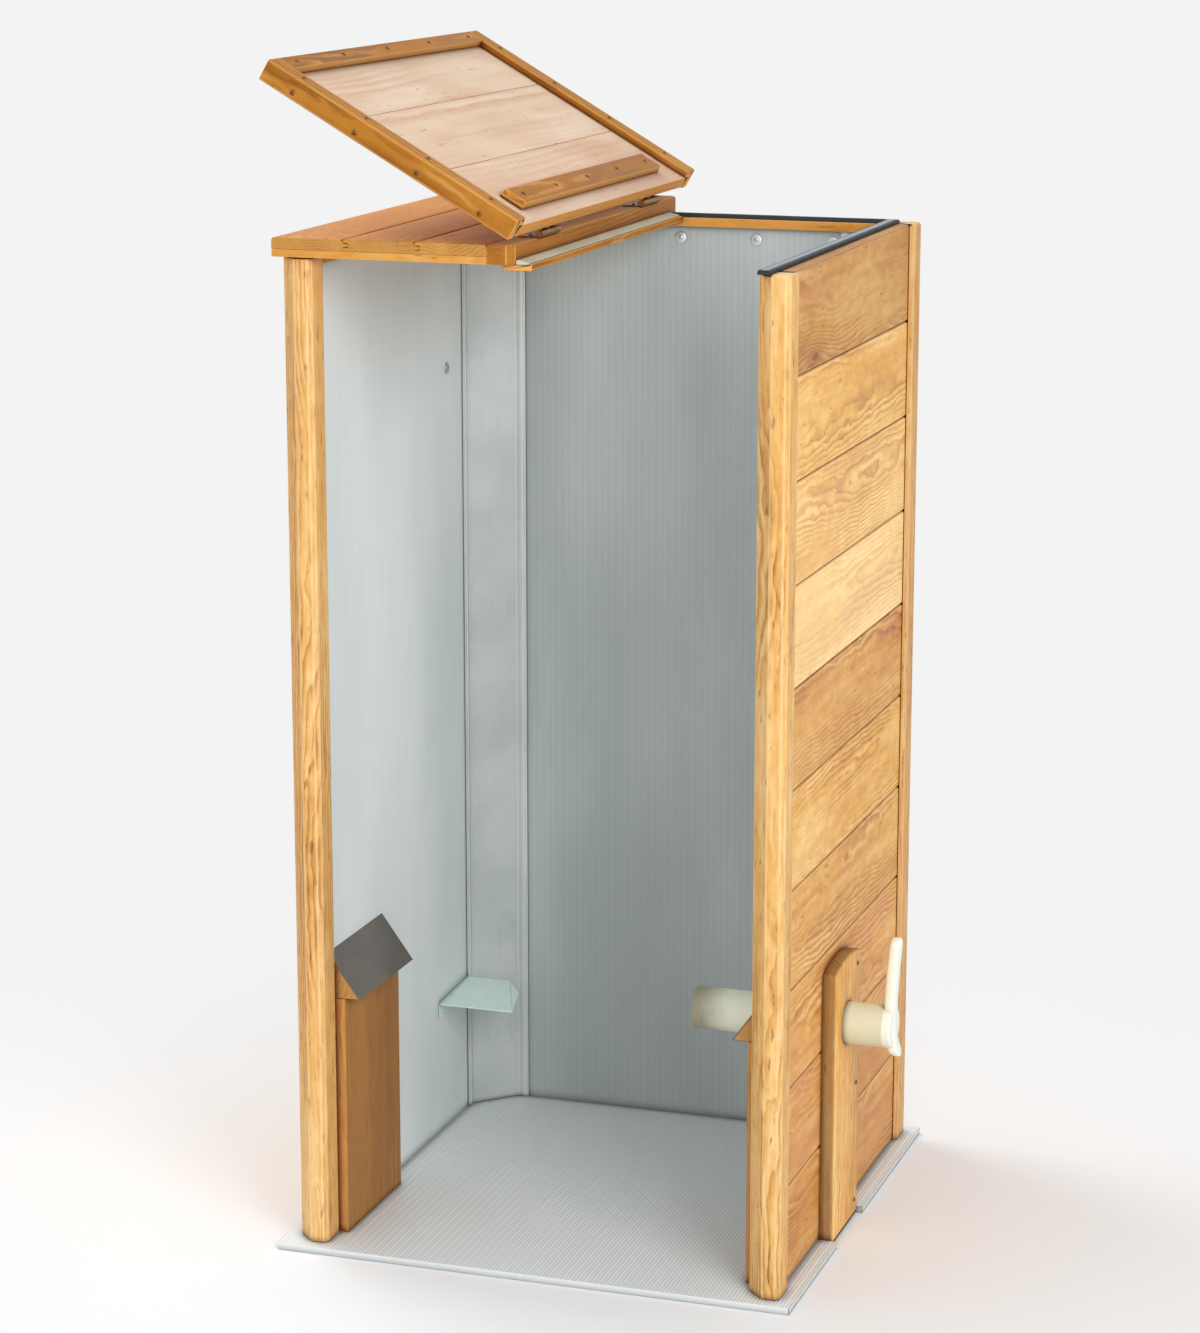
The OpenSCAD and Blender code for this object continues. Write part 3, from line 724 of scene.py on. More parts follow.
@dataclass(frozen=True)
class Timber(Finish):
    """Softwood: year rings round the heart of the log, fibres along it, knots, wear and a painted highlight on the
    arrises.
    """

    light: str
    mid: str
    dark: str
    knot: str
    ring: float = 0.0065
    contrast: float = 0.62
    knots: float = 0.92
    mottled: float = 0.55
    rough: float = 0.5
    # worn is the pale colour of early wood, pale boards and worn arrises; on the arrises it is also a painted
    # highlight
    worn: str = "#F6D9A8"
    arris_wear_and_highlight_by: float = 0.45
    flow: float = 1.0
    fibrous: float = 0.22
    flecked: float = 0.70
    gleam: float = 0.35
    stain: str = "#EBB469"

    def laid(self, r: Recipe) -> Material:
        """Lays the nodes of the wood.

        The ring number is the distance from the heart over the ring's width. The heart line sways
        slowly along the log, which draws the flame figure, and bends out round each knot. Within a
        ring the tone rises as its 2.2nd power and falls off sharply at the end; in patches its early
        part gleams. Clouds, a mottle and short flecks lie over it. A redness below 0 pales the wood,
        and one of 2 marks stained faces.

        Args:
            r: The recipe to lay them in.

        Returns:
            The material.
        """
        at = r.attribute("grain")
        bright, red, wear = r.attribute("tone").parts()
        slow = at.sway((1.5, 6.0, 6.0), (0, 0.085 * self.flow, 0.060 * self.flow), 1.5)
        quick = at.sway((13.0, 34.0, 34.0), (0, 0.0150 * self.flow, 0.0150 * self.flow), 2.5)
        bent = (at + slow + quick) * (0, 1, 1)
        cell = r.node("TexVoronoi", {"Vector": at * (2.3, 6.5, 0), "Scale": 1.0}, voronoi_dimensions="2D")
        away, mark = Term(r, cell.outputs["Distance"]), Term(r, cell.outputs["Color"]).parts()[0]
        chosen = mark.worked("GREATER_THAN", self.knots)
        swirl = (away * away * -36.0).worked("EXPONENT") * chosen * 0.016
        part = ((bent.length() + swirl) / self.ring).worked("FRACT")
        late = part**2.2 * part.step(0.86, 1.0, 1.0, 0.0)
        early = part.step(0.04, 0.20) * part.step(0.30, 0.52, 1.0, 0.0)

        vary = at.noise((2.0, 12, 12), 1.5).step(0.38, 0.66, 0.06, 1.0)
        fibre = at.noise((14, 420, 420), 2.0, 0.6)
        value = late * vary * self.contrast + (fibre - 0.5) * self.fibrous
        value = value + (at.noise((2.6, 60, 60)) - 0.5) * 0.45
        value = value + (at.noise((26, 60, 60), 3.0, 0.6) - 0.5) * self.mottled
        value = value.worked("ADD", (at.noise((2.2, 9, 9), 2.5) - 0.12) * 0.75, clamp=True)
        colour = r.ramp(value, [(0.0, self.light), (0.42, self.mid), (1.0, self.dark)])

        patches = at.noise((3.0, 16, 16), 1.5).step(0.50, 0.64, 0.0, self.gleam)
        colour = r.blend(early * patches, colour, self.worn)
        flecks = at.noise((34, 190, 190), 1.0).step(self.flecked, self.flecked + 0.08)
        colour = r.blend(flecks * 0.55, colour, self.knot)
        colour = r.blend(chosen * away.step(0.04, 0.13, 0.45, 0.0), colour, self.dark)
        colour = r.blend(chosen * away.step(0.022, 0.050, 1.0, 0.0) * 0.7, colour, self.knot)

        stained = red.step(1.1, 1.9)
        blush = (red.worked("MINIMUM", 1.0) - stained) * at.noise((3.5, 14, 14)).step(0.40, 0.62, 0.45, 1.0)
        colour = r.blend(blush, colour, r.blend(0.3, r.blend(1.0, colour, "#EFC8B8", "MULTIPLY"), "#B4846A"))
        colour = r.blend(red * -0.5, colour, self.worn)
        # arrises painted pale: wear, and a painted highlight along the edges
        colour = r.blend(wear * self.arris_wear_and_highlight_by, colour, self.worn)
        colour = r.blend(stained, colour, r.blend(1.0, colour, self.stain, "MULTIPLY"))
        # painted shade: darker where other surfaces are near, in joints and corners
        colour = r.painted_crevice_shade(0.014, colour * bright, "#8C6038")
        rough = value.step(0.0, 1.0, self.rough + 0.08, self.rough - 0.08)
        return r.finish(colour, rough, late * 0.5 + fibre * 0.5, 2.5e-4, Specular_IOR_Level=0.22)


@dataclass(frozen=True)
class FlutedSheet(Finish):
    """Twin-wall plastic sheet: the webs show as fine lines, with dust in soft clouds."""

    light: str
    shade: str
    web: str
    rough: float = 0.38
    lines: float = 0.12
    bands: float = 0.0

    def laid(self, r: Recipe) -> Material:
        """Lays the nodes of the sheet.

        The line mask is the distance of the flute number from a whole number. The bands are
        (1 + cos(4 pi n)) / 2, with n the flute number; taped ends, where the wear is 1, have none.

        Args:
            r: The recipe to lay them in.

        Returns:
            The material.
        """
        at = r.attribute("grain")
        number, wear = at.parts()[1], r.attribute("tone").parts()[2]
        line = ((number + 0.5).worked("FRACT") - 0.5).worked("ABSOLUTE").step(0.06, 0.16, 1.0, 0.0)
        wave = ((number * (4 * math.pi)).worked("COSINE") + 1.0) * 0.5
        mask = (line * self.lines + wave * self.bands) * (1.0 - wear)
        haze = at.noise((14.0, 1.3, 9.0))
        colour = r.clouded(at.noise((1.4, 0.05, 1.0), 2.5), self.light, self.shade)
        colour = r.blend(mask, r.blend(haze * 0.12, colour, self.web), self.web)
        # painted shade: darker where other surfaces are near, in corners and at the webs' ends
        colour = r.painted_crevice_shade(0.020, colour, "#9A9C98")
        rough = haze.step(0.2, 0.8, self.rough - 0.06, self.rough + 0.10)
        return r.finish(colour, rough, mask * 0.8 + haze * 0.25, 2.0e-4, Specular_IOR_Level=0.45)


@dataclass(frozen=True)
class Moulded(Finish):
    """Plain plastic, rubber or painted metal: clouded colour, a fine skin and marks of handling."""

    colour: str
    shade: str
    rough: float
    skin: float = 1.0
    soil: str = "#8D8672"
    soil_by: float = 0.18
    # edge is the colour of eased edges: partly wear, partly a painted highlight
    edge: str = "#FFFFFF"
    edge_wear_and_highlight_by: float = 0.12

    def laid(self, r: Recipe) -> Material:
        """Lays three noises in Object coordinates: clouds, a skin and scuffs; eased edges are painted lighter, as
        wear and as a highlight.

        Args:
            r: The recipe to lay them in.

        Returns:
            The material.
        """
        at = r.place()
        wear = r.attribute("tone").parts()[2]
        skin = at.noise((900, 900, 900), 1.0)
        scuff = at.noise((60, 60, 14), 4.0, 0.7)
        colour = r.clouded(at.noise((7, 7, 7), 3.0), self.colour, self.shade)
        colour = r.blend(scuff.step(0.52, 0.72) * self.soil_by, colour, self.soil)
        # eased edges painted lighter, as wear and as a highlight; painted shade where other surfaces are near
        colour = r.painted_crevice_shade(0.010, r.blend(wear * self.edge_wear_and_highlight_by, colour, self.edge), "#8C8880")
        rough = (scuff + skin * 0.3).step(0.4, 0.9, self.rough, self.rough + 0.14)
        return r.finish(colour, rough, skin + scuff * 0.6, 6e-5 * self.skin, Specular_IOR_Level=0.45)


@dataclass(frozen=True)
class BuriedTube(Finish):
    """Cream pipe whose inner part is paler and greenish, with a painted shadow and specks of soil towards its inner
    end.
    """

    clean: str = "#DBDBBF"
    cloudy: str = "#CFCDB0"
    inner: str = "#F1F3DC"
    painted_shadow: str = "#8A846A"
    speck: str = "#5E5442"

    def laid(self, r: Recipe) -> Material:
        """Lays the inner part's colour below X = 0.34, and a painted shadow with soil specks as X goes from 0.215
        down to 0.150.

        Args:
            r: The recipe to lay them in.

        Returns:
            The material.
        """
        at = r.place()
        cloud = at.noise((16, 16, 16), 4.0, 0.6)
        ragged = at.parts()[0] + (cloud - 0.5) * 0.06
        # painted shadow towards the inner end, which also sets how many soil specks show
        painted_shadow_and_soil = ragged.step(0.150, 0.215, 0.85, 0.0)
        specks = at.noise((160, 160, 160), 3.0).step(0.62, 0.72, 0.0, 0.5)
        colour = r.blend(cloud * 0.25, self.clean, self.cloudy)
        colour = r.blend(ragged.step(0.30, 0.345, 1.0, 0.0), colour, self.inner)
        colour = r.blend(painted_shadow_and_soil, colour, self.painted_shadow)
        # painted shade: darker where other surfaces are near, at the bush and bore
        colour = r.painted_crevice_shade(0.012, r.blend(specks * (painted_shadow_and_soil + 0.1), colour, self.speck), "#8E8A72")
        rough = cloud.step(0.2, 0.8, 0.32, 0.5)
        return r.finish(colour, rough, at.noise((500, 500, 500)), 6e-5, Specular_IOR_Level=0.45)


@dataclass(frozen=True)
class Zinc(Finish):
    """Zinc-plated steel: spangled brightness, streaked roughness and dull patches."""

    bright: str
    dull: str

    def laid(self, r: Recipe) -> Material:
        """Lays a cell pattern for the spangle and two noises for dullness.

        Args:
            r: The recipe to lay them in.

        Returns:
            The material.
        """
        at = r.place()
        spangle = r.out("TexVoronoi", {"Vector": at, "Scale": 420.0}, "Color").parts()[0]
        mix = spangle * 0.4 + at.noise((90, 90, 90), 3.0) * 0.6
        # painted shade: darker where other surfaces are near, round the heads and leaves
        colour = r.painted_crevice_shade(0.004, r.blend(mix, self.bright, self.dull), "#6A655E")
        return r.finish(colour, mix.step(0.2, 0.8, 0.28, 0.5), at.noise((700, 700, 700)), 4e-5, Metallic=0.85)


WALL_WOOD = Timber(
    "honey_timber", "#F4CC86", "#DDA451", "#A86428", "#7A4A22", contrast=0.78, mottled=0.7, worn="#FBE2B2"
)
POST_WOOD = Timber(
    "post_timber", "#F2CB8B", "#DFAA60", "#AA6C30", "#744420", contrast=0.7, knots=1.1, mottled=0.8, fibrous=0.5,
    flecked=0.66,
)
ROOF_WOOD = Timber(
    "roof_timber", "#E8AC4C", "#D28F34", "#96591C", "#643C18", contrast=0.9, worn="#D8A258", ring=0.005
)
BATTEN_WOOD = Timber("batten_timber", "#DCA252", "#C88936", "#9A601C", "#6E4218", contrast=0.5, worn="#E4B470")
AMBER_WOOD = Timber(
    "amber_timber", "#B67722", "#9F6214", "#6D410A", "#523010", contrast=0.75, knots=1.1, worn="#E2AC62",
    arris_wear_and_highlight_by=0.8, flow=0.6,
)
PALE_WOOD = Timber(
    "pale_timber", "#EAD8C2", "#DFC7AB", "#C0987A", "#A87B55", ring=0.009, contrast=0.42, knots=1.1, mottled=0.12,
    rough=0.62, arris_wear_and_highlight_by=0.2, worn="#EFE0CE", flow=0.45,
)
DUCT_WOOD = Timber(
    "duct_timber", "#B98748", "#A6733D", "#835627", "#6C431C", contrast=0.35, knots=1.1, rough=0.6, worn="#C8975A",
    arris_wear_and_highlight_by=0.3,
)
# the side and back linings are one sheet; the back copy is painted darker as shade
LINING_SHEET = FlutedSheet("lining_sheet", "#ECF2F2", "#DEE5E5", "#B2BABA")
LINING_BACK_SHADED_SHEET = FlutedSheet("lining_back_sheet", "#BEC5C4", "#A8B0AF", "#848D8D")
BASE_FLUTED = FlutedSheet("base_fluted", "#F8FAFA", "#F3F6F6", "#BCC3C5", lines=0.0, bands=0.6)
# the pale edge colour paints highlights on the beads and eased edges of the corner profile
CORNER_WHITE = Moulded("corner_white", "#CFD5D4", "#BFC6C5", 0.34, soil="#9CA3A0", edge="#F2F6F5", edge_wear_and_highlight_by=0.6)
# the pale edge colour is a painted highlight on the top of the seal
SEAL_RUBBER = Moulded(
    "wall_seal_rubber", "#1F242B", "#181C22", 0.55, skin=2.0, soil="#4A4C4E", soil_by=0.1, edge="#A8B2BC",
    edge_wear_and_highlight_by=0.9,
)
LEDGE_FOAM = Moulded("ledge_seal_foam", "#CAC4A8", "#B2AE94", 0.7, skin=4.0)
CAP_PAINT = Moulded(
    "cap_sheet_paint", "#726C66", "#5F5A55", 0.48, skin=1.5, soil="#9A9184", edge="#A29A90", edge_wear_and_highlight_by=0.4
)
DEFLECTOR_PAINT = Moulded(
    "deflector_paint", "#E8FDF6", "#DEF6EE", 0.42, soil="#93A096", soil_by=0.15, edge="#DCE8DC", edge_wear_and_highlight_by=0.5
)
LEVER_WHITE = Moulded("lever_white", "#EFF2E6", "#EAEEDC", 0.28, skin=0.6, soil="#D6D3C0", soil_by=0.08)
TUBE_CREAM = BuriedTube("tube_cream")
LINING_STEEL = Zinc("zinc_steel", "#E4E7E8", "#B9BEC1")
SCREW_STEEL = Zinc("screw_steel", "#A0703A", "#6A4420")
HINGE_STEEL = Zinc("hinge_steel_brown", "#A87A48", "#7A5430")


# ---- Pieces


def placed(name: str, data: bpy.types.ID) -> Piece:
    """Puts a mesh, camera or lamp into the scene.

    Args:
        name: Name of its object.
        data: The mesh, camera or lamp.

    Returns:
        The new object.
    """
    made = bpy.data.objects.new(name, data)
    bpy.context.scene.collection.objects.link(made)
    return made


def smoothed(mesh: bpy.types.Mesh) -> None:
    """Shades a mesh smooth, but for its sharp edges."""
    mesh.polygons.foreach_set("use_smooth", np.ones(len(mesh.polygons), dtype=bool))
    mesh.set_sharp_from_angle(angle=SHARP)


def keep_vectors(mesh: bpy.types.Mesh, **vectors: Array) -> None:
    """Stores vectors on a mesh's points, over those of the same name.

    Args:
        mesh: The mesh.
        vectors: The vectors, by name.
    """
    for key, values in vectors.items():
        if key in mesh.attributes:
            mesh.attributes.remove(mesh.attributes[key])
        kept = mesh.attributes.new(key, "FLOAT_VECTOR", "POINT").data
        kept.foreach_set("vector", np.ascontiguousarray(values, dtype=np.float32).ravel())


def shown(name: str, shell: Shell, finish: Finish, node: str, body: Body = Body.BIN) -> Piece:
    """Makes a piece of a shell, dresses it, and puts it on its body in place of a CAD node.

    Args:
        name: Name of the piece.
        shell: Its surface.
        finish: Its finish.
        node: The CAD node it stands for.
        body: The body it rides on.

    Returns:
        The new object.
    """
    mesh = shell.mesh(name)
    keep_vectors(mesh, grain=shell.grain, tone=shell.tone)
    smoothed(mesh)
    mesh.materials.append(finish.material())
    piece = placed(name, mesh)
    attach(piece, body.value)
    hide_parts(node)
    log.info("%s: %d faces on %s", name, len(mesh.polygons), body.value)
    return piece


def bored(piece: Piece, shell: Shell, radius: float, run: Span) -> None:
    """Cuts a round hole along the tube's axis through a piece and keeps the result as its mesh.

    The grain is a straight-line function of place, so the new points take theirs from the least
    squares fit of grain = place * M + g. The tone is that of the nearest old point within 0.1 mm, or
    else that of the board without wear.

    Args:
        piece: The piece to cut.
        shell: What it was made of.
        radius: Radius of the hole.
        run: Start and end of the cut.
    """
    wall = [(x, radius) for x in run]
    drill = turned(wall, (0, *PLAN.tube_axis), RIGHTWARD, TUBE_STEPS).mesh("bore")
    cutter = placed("bore", drill)
    cut = piece.modifiers.new("bore", "BOOLEAN")
    cut.operation, cut.solver, cut.object = "DIFFERENCE", "EXACT", cutter
    result = bpy.data.meshes.new_from_object(piece.evaluated_get(bpy.context.evaluated_depsgraph_get()))
    piece.modifiers.clear()
    old, piece.data = piece.data, result
    result.name = piece.name
    points = np.empty(len(result.vertices) * 3, dtype=np.float32)
    result.vertices.foreach_get("co", points)
    points = points.reshape(-1, 3).astype(float)
    before, after = (np.hstack([p, np.ones((len(p), 1))]) for p in (shell.points, points))
    law = np.linalg.lstsq(before, shell.grain, rcond=None)[0]
    apart = np.linalg.norm(points[:, None] - shell.points[None], axis=2)
    unworn = shell.tone[-1] * (1.0, 1.0, 0.0)
    tone = np.where(apart.min(axis=1)[:, None] < 1e-4, shell.tone[apart.argmin(axis=1)], unworn)
    keep_vectors(result, grain=after @ law, tone=tone)
    smoothed(result)
    bpy.data.objects.remove(cutter)
    bpy.data.meshes.remove(drill)
    bpy.data.meshes.remove(old)


# ---- Sub-assemblies


@dataclass
class BaseSheet:
    """The fluted sheet under the bin, notched at the cover board, its open ends taped over."""

    half: float = 0.390
    thick: float = 0.010
    notch: Span = (-0.127, 0.023)
    tape: float = 0.0006
    lap: float = 1e-4
    inset: float = 2e-4

    def strip(self, x: Span, y: Span) -> Shell:
        """Rippled top and bottom skins over upright webs, between the given limits."""
        return FLUTING.sheet(x, y, (0.0, self.thick), Lie.FLAT_ALONG_Y, -self.half)

    def tapes(self) -> Shell:
        """Makes thin boxes on the sheet's sides and round its notch.

        Returns:
            The tapes, with the flute number in their grain.
        """
        half, t, face, (front, back) = self.half, self.tape, PLAN.wall_face, self.notch
        rim = half - t
        plan = [((-half, -half), (half, -rim)), ((-half, rim), (half, half))]
        plan += [((rim, -half), (half, front)), ((rim, back), (half, half))]
        plan += [((face, front - t), (half, front)), ((face, back), (half, back + t))]
        plan = np.array([*plan, ((face - t, front), (face, back))])
        low, top = (np.full(len(plan), z) for z in (self.inset, self.thick - self.inset))
        made = boxes(np.column_stack([plan[:, 0], low]), np.column_stack([plan[:, 1], top]))
        made.grain = made.points[:, [1, 0, 2]] + (0, half, 0)
        made.grain[:, 1] /= FLUTING.pitch
        made.tone[:, 2] = 1.0
        return made

    def build(self) -> None:
        """Makes the sheet of one wide strip, the two rim strips beside the notch, and the tapes."""
        half, end, face = self.half, self.half - self.tape + self.lap, PLAN.wall_face
        strips = [self.strip((-half, face), (-end, end))]
        strips += [self.strip((face, half), y) for y in ((-end, self.notch[0]), (self.notch[1], end))]
        shown("base_fluted_sheet", joined([*strips, self.tapes()]), BASE_FLUTED, "base_sheet")


@dataclass
class Posts:
    """The four posts, with housings for the board ends and a broad chamfer in front."""

    half: float = 0.370
    side: float = 0.051
    chamfer: float = 0.006
    front_chamfer: float = 0.025
    board_out: float = 0.3624
    board_in: float = 0.3416
    housed: float = 0.329
    arris: float = 0.0022

    def section(self, sx: int, sy: int) -> Array:
        """Corners of a post in X and Y, drawn for the back right and mirrored by the two signs.

        A front post has its broad chamfer on the front left edge, which is the inner one on the
        right and the outer one on the left.

        Args:
            sx: -1 for a left post, +1 for a right one.
            sy: -1 for a front post, +1 for a back one.

        Returns:
            The corners in order.
        """
        o, c, i = self.half, self.chamfer, self.half - self.side
        inner = self.front_chamfer if (sx, sy) == (1, -1) else c
        outer = self.front_chamfer if (sx, sy) == (-1, -1) else c
        side = [(self.board_in, i), (self.board_in, self.housed), (self.board_out, self.housed), (self.board_out, i)]
        rear = [(v, u) for u, v in side[::-1]] if sy > 0 else []
        corners = [(i + c, i), *side, (o - c, i), (o, i + c), (o, o - outer), (o - outer, o)]
        return np.array([*corners, (i + inner, o), (i, o - inner), *rear, (i, i + c)]) * (sx, sy)

    def build(self) -> None:
        """Makes one piece a post, each with its brightness and redness."""
        tones = ((1.05, 0.0), (0.99, 0.0), (0.95, 0.3), (0.90, 0.35))
        places = [(f"{end}_{side}", sx, sy) for end, sy in (("front", -1), ("back", 1)) for side, sx in SIDES]
        for n, ((name, sx, sy), (bright, red)) in enumerate(zip(places, tones)):
            outline = eased(self.section(sx, sy), self.arris)
            post = prism(outline, (PLAN.foot, PLAN.wall_top), Lie.UPRIGHT, (0.001, 0.003))
            post = sawn(post, 11 + n, bright, red, deep=0.03)
            shown(f"post_{name}_timber", post, POST_WOOD, f"post_{name}")


@dataclass
class Walls:
    """Ten tongue-and-groove boards a side, with the inner rails that they carry at the top."""

    cover: float = 0.145
    half: float = 0.3286
    boards: int = 10
    tube_boards: tuple[int, int] = (1, 2)
    edge: float = 0.003
    rail: Span = (0.322, 1.446)
    bright: tuple[float, ...] = (1.0, 1.02, 1.04, 1.03, 1.08, 0.98, 1.17, 1.15, 1.08, 0.88)
    red: tuple[float, ...] = (0.50, 0.75, 0.55, 0.10, 0.05, 0.55, -0.75, -0.35, -0.15, 0.45)

    def board(self, n: int, sign: int, lie: Lie, seed: int, order: int = 0) -> Shell:
        """Makes a board of a wall; the top edge of the wall is painted darker as shade, without its pale arris.

        Args:
            n: Number of the board, from 0 at the ground.
            sign: Side of the bin that its weather face is on.
            lie: Frame axes of thickness, width and length.
            seed: Picks its log.
            order: Picks which board has which tone.

        Returns:
            The board.
        """
        row = Matchboards(sign * PLAN.wall_face, -sign, PLAN.wall_thick, PLAN.foot, self.cover, self.boards)
        tone = (n + order * (2 * n + 1)) % self.boards
        board = prism(row.section(n), (-self.half, self.half), lie)
        board = sawn(board, seed, self.bright[tone], self.red[tone])
        # painted shade: the top edge is darkened to 0.8 and its arris wear and highlight cleared
        board.tone[board.points[:, 2] > PLAN.wall_top - self.edge] *= (0.8, 1.0, 0.0)
        return board

    def build(self) -> None:
        """Makes the right wall board by board, the left and back walls as one piece each, and the rails."""
        for n in range(self.boards):
            board = self.board(n, 1, Lie.ALONG_Y, 101 + n)
            made = shown(f"board_right_{n + 1}", board, WALL_WOOD, f"plank_right_{n + 1}")
            if n in self.tube_boards:
                bored(made, board, PLAN.tube_bore, (PLAN.wall_face - 0.05, PLAN.wall_face + 0.05))
        for name, sign, lie, seed, order in (("left", -1, Lie.ALONG_Y, 131, 1), ("back", 1, Lie.ALONG_X, 161, 3)):
            wall = joined([self.board(n, sign, lie, seed + n, order) for n in range(self.boards)])
            shown(f"boards_{name}", wall, WALL_WOOD, f"planks_{name}")
        near, far, half, low, top = self.rail[0], PLAN.lining_back, PLAN.lining_half, self.rail[1], PLAN.wall_top
        for name, lo, hi, lie in (
            ("left", (-far, -half, low), (-near, half, top), Lie.ALONG_Y),
            ("right", (near, -half, low), (far, half, top), Lie.ALONG_Y),
            ("back", (-half, near, low), (half, far, top), Lie.ALONG_X),
        ):
            rail = bar(lo, hi, lie, 190 + len(name), bright=1.05)
            shown(f"rail_{name}", rail, BATTEN_WOOD, f"top_rail_{name}")


@dataclass
class Linings:
    """Fluted linings, corner profiles, the wall seal and the washer screws."""

    run: Span = (0.010, 1.446)
    leg: float = 0.060
    reach: float = 0.078
    profile: float = 0.003
    bead: Span = (0.007, 0.013)
    bead_rise: float = 0.0014
    seal_ends: Span = (-0.3703, -0.017)
    seal_corner: float = 0.320
    seal_steps: tuple[int, int] = (56, 30)
    back_screws: Span = (0.241, 1.428)
    side_screw: Span = (0.189, 1.230)
    flange_screw: float = 0.263

    def sheets(self) -> None:
        """Makes the three linings; the right one is bored for the tube."""
        face, back, half = PLAN.lining_face, PLAN.lining_back, PLAN.lining_half
        for name, thick in (("left", (-back, -face)), ("right", (face, back)), ("back", (face, back))):
            sheet = FLUTING.sheet((-half, half), self.run, thick, Lie.UPRIGHT, FLUTING.pitch / 2 - half)
            finish = LINING_SHEET
            if name == "back":
                # the back lining takes the darker copy of the sheet, painted as shade
                sheet.points, finish = sheet.points[:, [1, 0, 2]], LINING_BACK_SHADED_SHEET
                sheet.outward()
            made = shown(f"lining_{name}_sheet", sheet, finish, f"lining_{name}")
            if name == "right":
                bored(made, sheet, PLAN.tube_bore, (face - 0.02, face + 0.03))

    def corners(self) -> None:
        """Makes the two corner profiles: a slanted web between flanges, each with a raised bead."""
        leg, t, rise, (b0, b1) = self.leg, self.profile, self.bead_rise, self.bead
        bead = [(leg + b1, -t), (leg + b1 - 0.001, -t - rise), (leg + b0 + 0.001, -t - rise), (leg + b0, -t)]
        web = (leg + t * (math.sqrt(2) - 1), -t)
        half = [(leg, 0), (self.reach, 0), (self.reach, -t), *bead, web]
        mirrored = [(-y, -x) for x, y in half[::-1]]
        for name, sign in SIDES:
            points = (np.array([*half, *mirrored]) + (-PLAN.lining_face, PLAN.lining_face)) * (-sign, 1)
            profile = prism(eased(points, 0.0012, 2), self.run, Lie.UPRIGHT)
            shown(f"corner_{name}", profile, CORNER_WHITE, f"corner_profile_{name}")

    def seal(self) -> None:
        """Sweeps the seal's section along the right and back walls.

        At each station the section's inward place u is taken off both the wall line in X and that in
        Y, which mitres the corner, and its height v ripples by 1% with sin(w / 31 mm) and again with
        sin(w / 11.3 mm + 1), w being the way along. The wear is 1 on the top along the right wall, which
        is painted pale there as a highlight, and 0 elsewhere and at the front end.
        """
        u = np.array([0, 4, 9, 14, 18, 18, 16.8, 14.2, 12.4, 11.8, 9, 4, 1.2, 0]) / 1000
        v = np.array([0, 0, 0, 0, 0, 3.6, 6.0, 6.5, 6.5, 5.6, 5.8, 5.8, 5.2, 3.6]) / 1000
        # lip marks the top points that are painted pale as a highlight
        lip = np.array([0, 0, 0, 0, 0, 0, 0, 0.4, 1, 1, 1, 0.1, 0, 0])
        along_side, along_back = self.seal_steps
        side = np.linspace(self.seal_ends[0], self.seal_corner, along_side)[:, None]
        rear = np.linspace(self.seal_corner, self.seal_ends[1], along_back)[:, None]
        inner, wide = PLAN.lining_back - u, np.ones(len(u))
        x = np.concatenate([np.tile(inner, (along_side + 1, 1)), rear * wide])
        y = np.concatenate([side * wide, inner[None], np.tile(inner, (along_back, 1))])
        station = np.arange(len(x))[:, None]
        way = station * 0.011
        z = PLAN.wall_top + v * (1 + 0.01 * np.sin(way / 0.031) + 0.01 * np.sin(way / 0.0113 + 1))
        strip = plain_shell(np.stack([x, y, z], axis=-1))
        strip.tone[:, 2] = (lip * ((station > 0) & (station <= along_side))).ravel()
        shown("seal_strip", strip, SEAL_RUBBER, "wall_seal")

    def screws(self) -> None:
        """Sets washer screws along the back lining and on the sides, and plain ones on the profiles."""
        face, (end, high), (y, z) = PLAN.lining_face, self.back_screws, self.side_screw
        washer = [(0, POLE), (0, 0.0088), (0.0006, 0.009), (0.0012, 0.0086), (0.0015, 0.0078), (0.0014, POLE)]
        rear = [(x, face, high) for x in np.linspace(-end, end, 5)]
        places = np.array([*rear, *((s * face, y, z) for _, s in SIDES)])
        flanges = np.array([(s * (face - self.profile), self.flange_screw, z) for _, s in SIDES])
        inward = [(-s, 0.0, 0.0) for _, s in SIDES]
        ways = np.array([*[(0.0, -1.0, 0.0)] * len(rear), *inward])
        plates = scattered(turned(washer, (0, 0, 0), UP, 28), places, ways)
        on_plates = np.concatenate([places + ways * 0.0014, flanges])
        heads = scattered(screw_head(), on_plates, np.concatenate([ways, inward]))
        shown("lining_fixings", joined([plates, heads]), LINING_STEEL, "lining_screws")

    def build(self) -> None:
        """Makes everything on the inside of the walls."""
        self.sheets()
        self.corners()
        self.seal()
        self.screws()


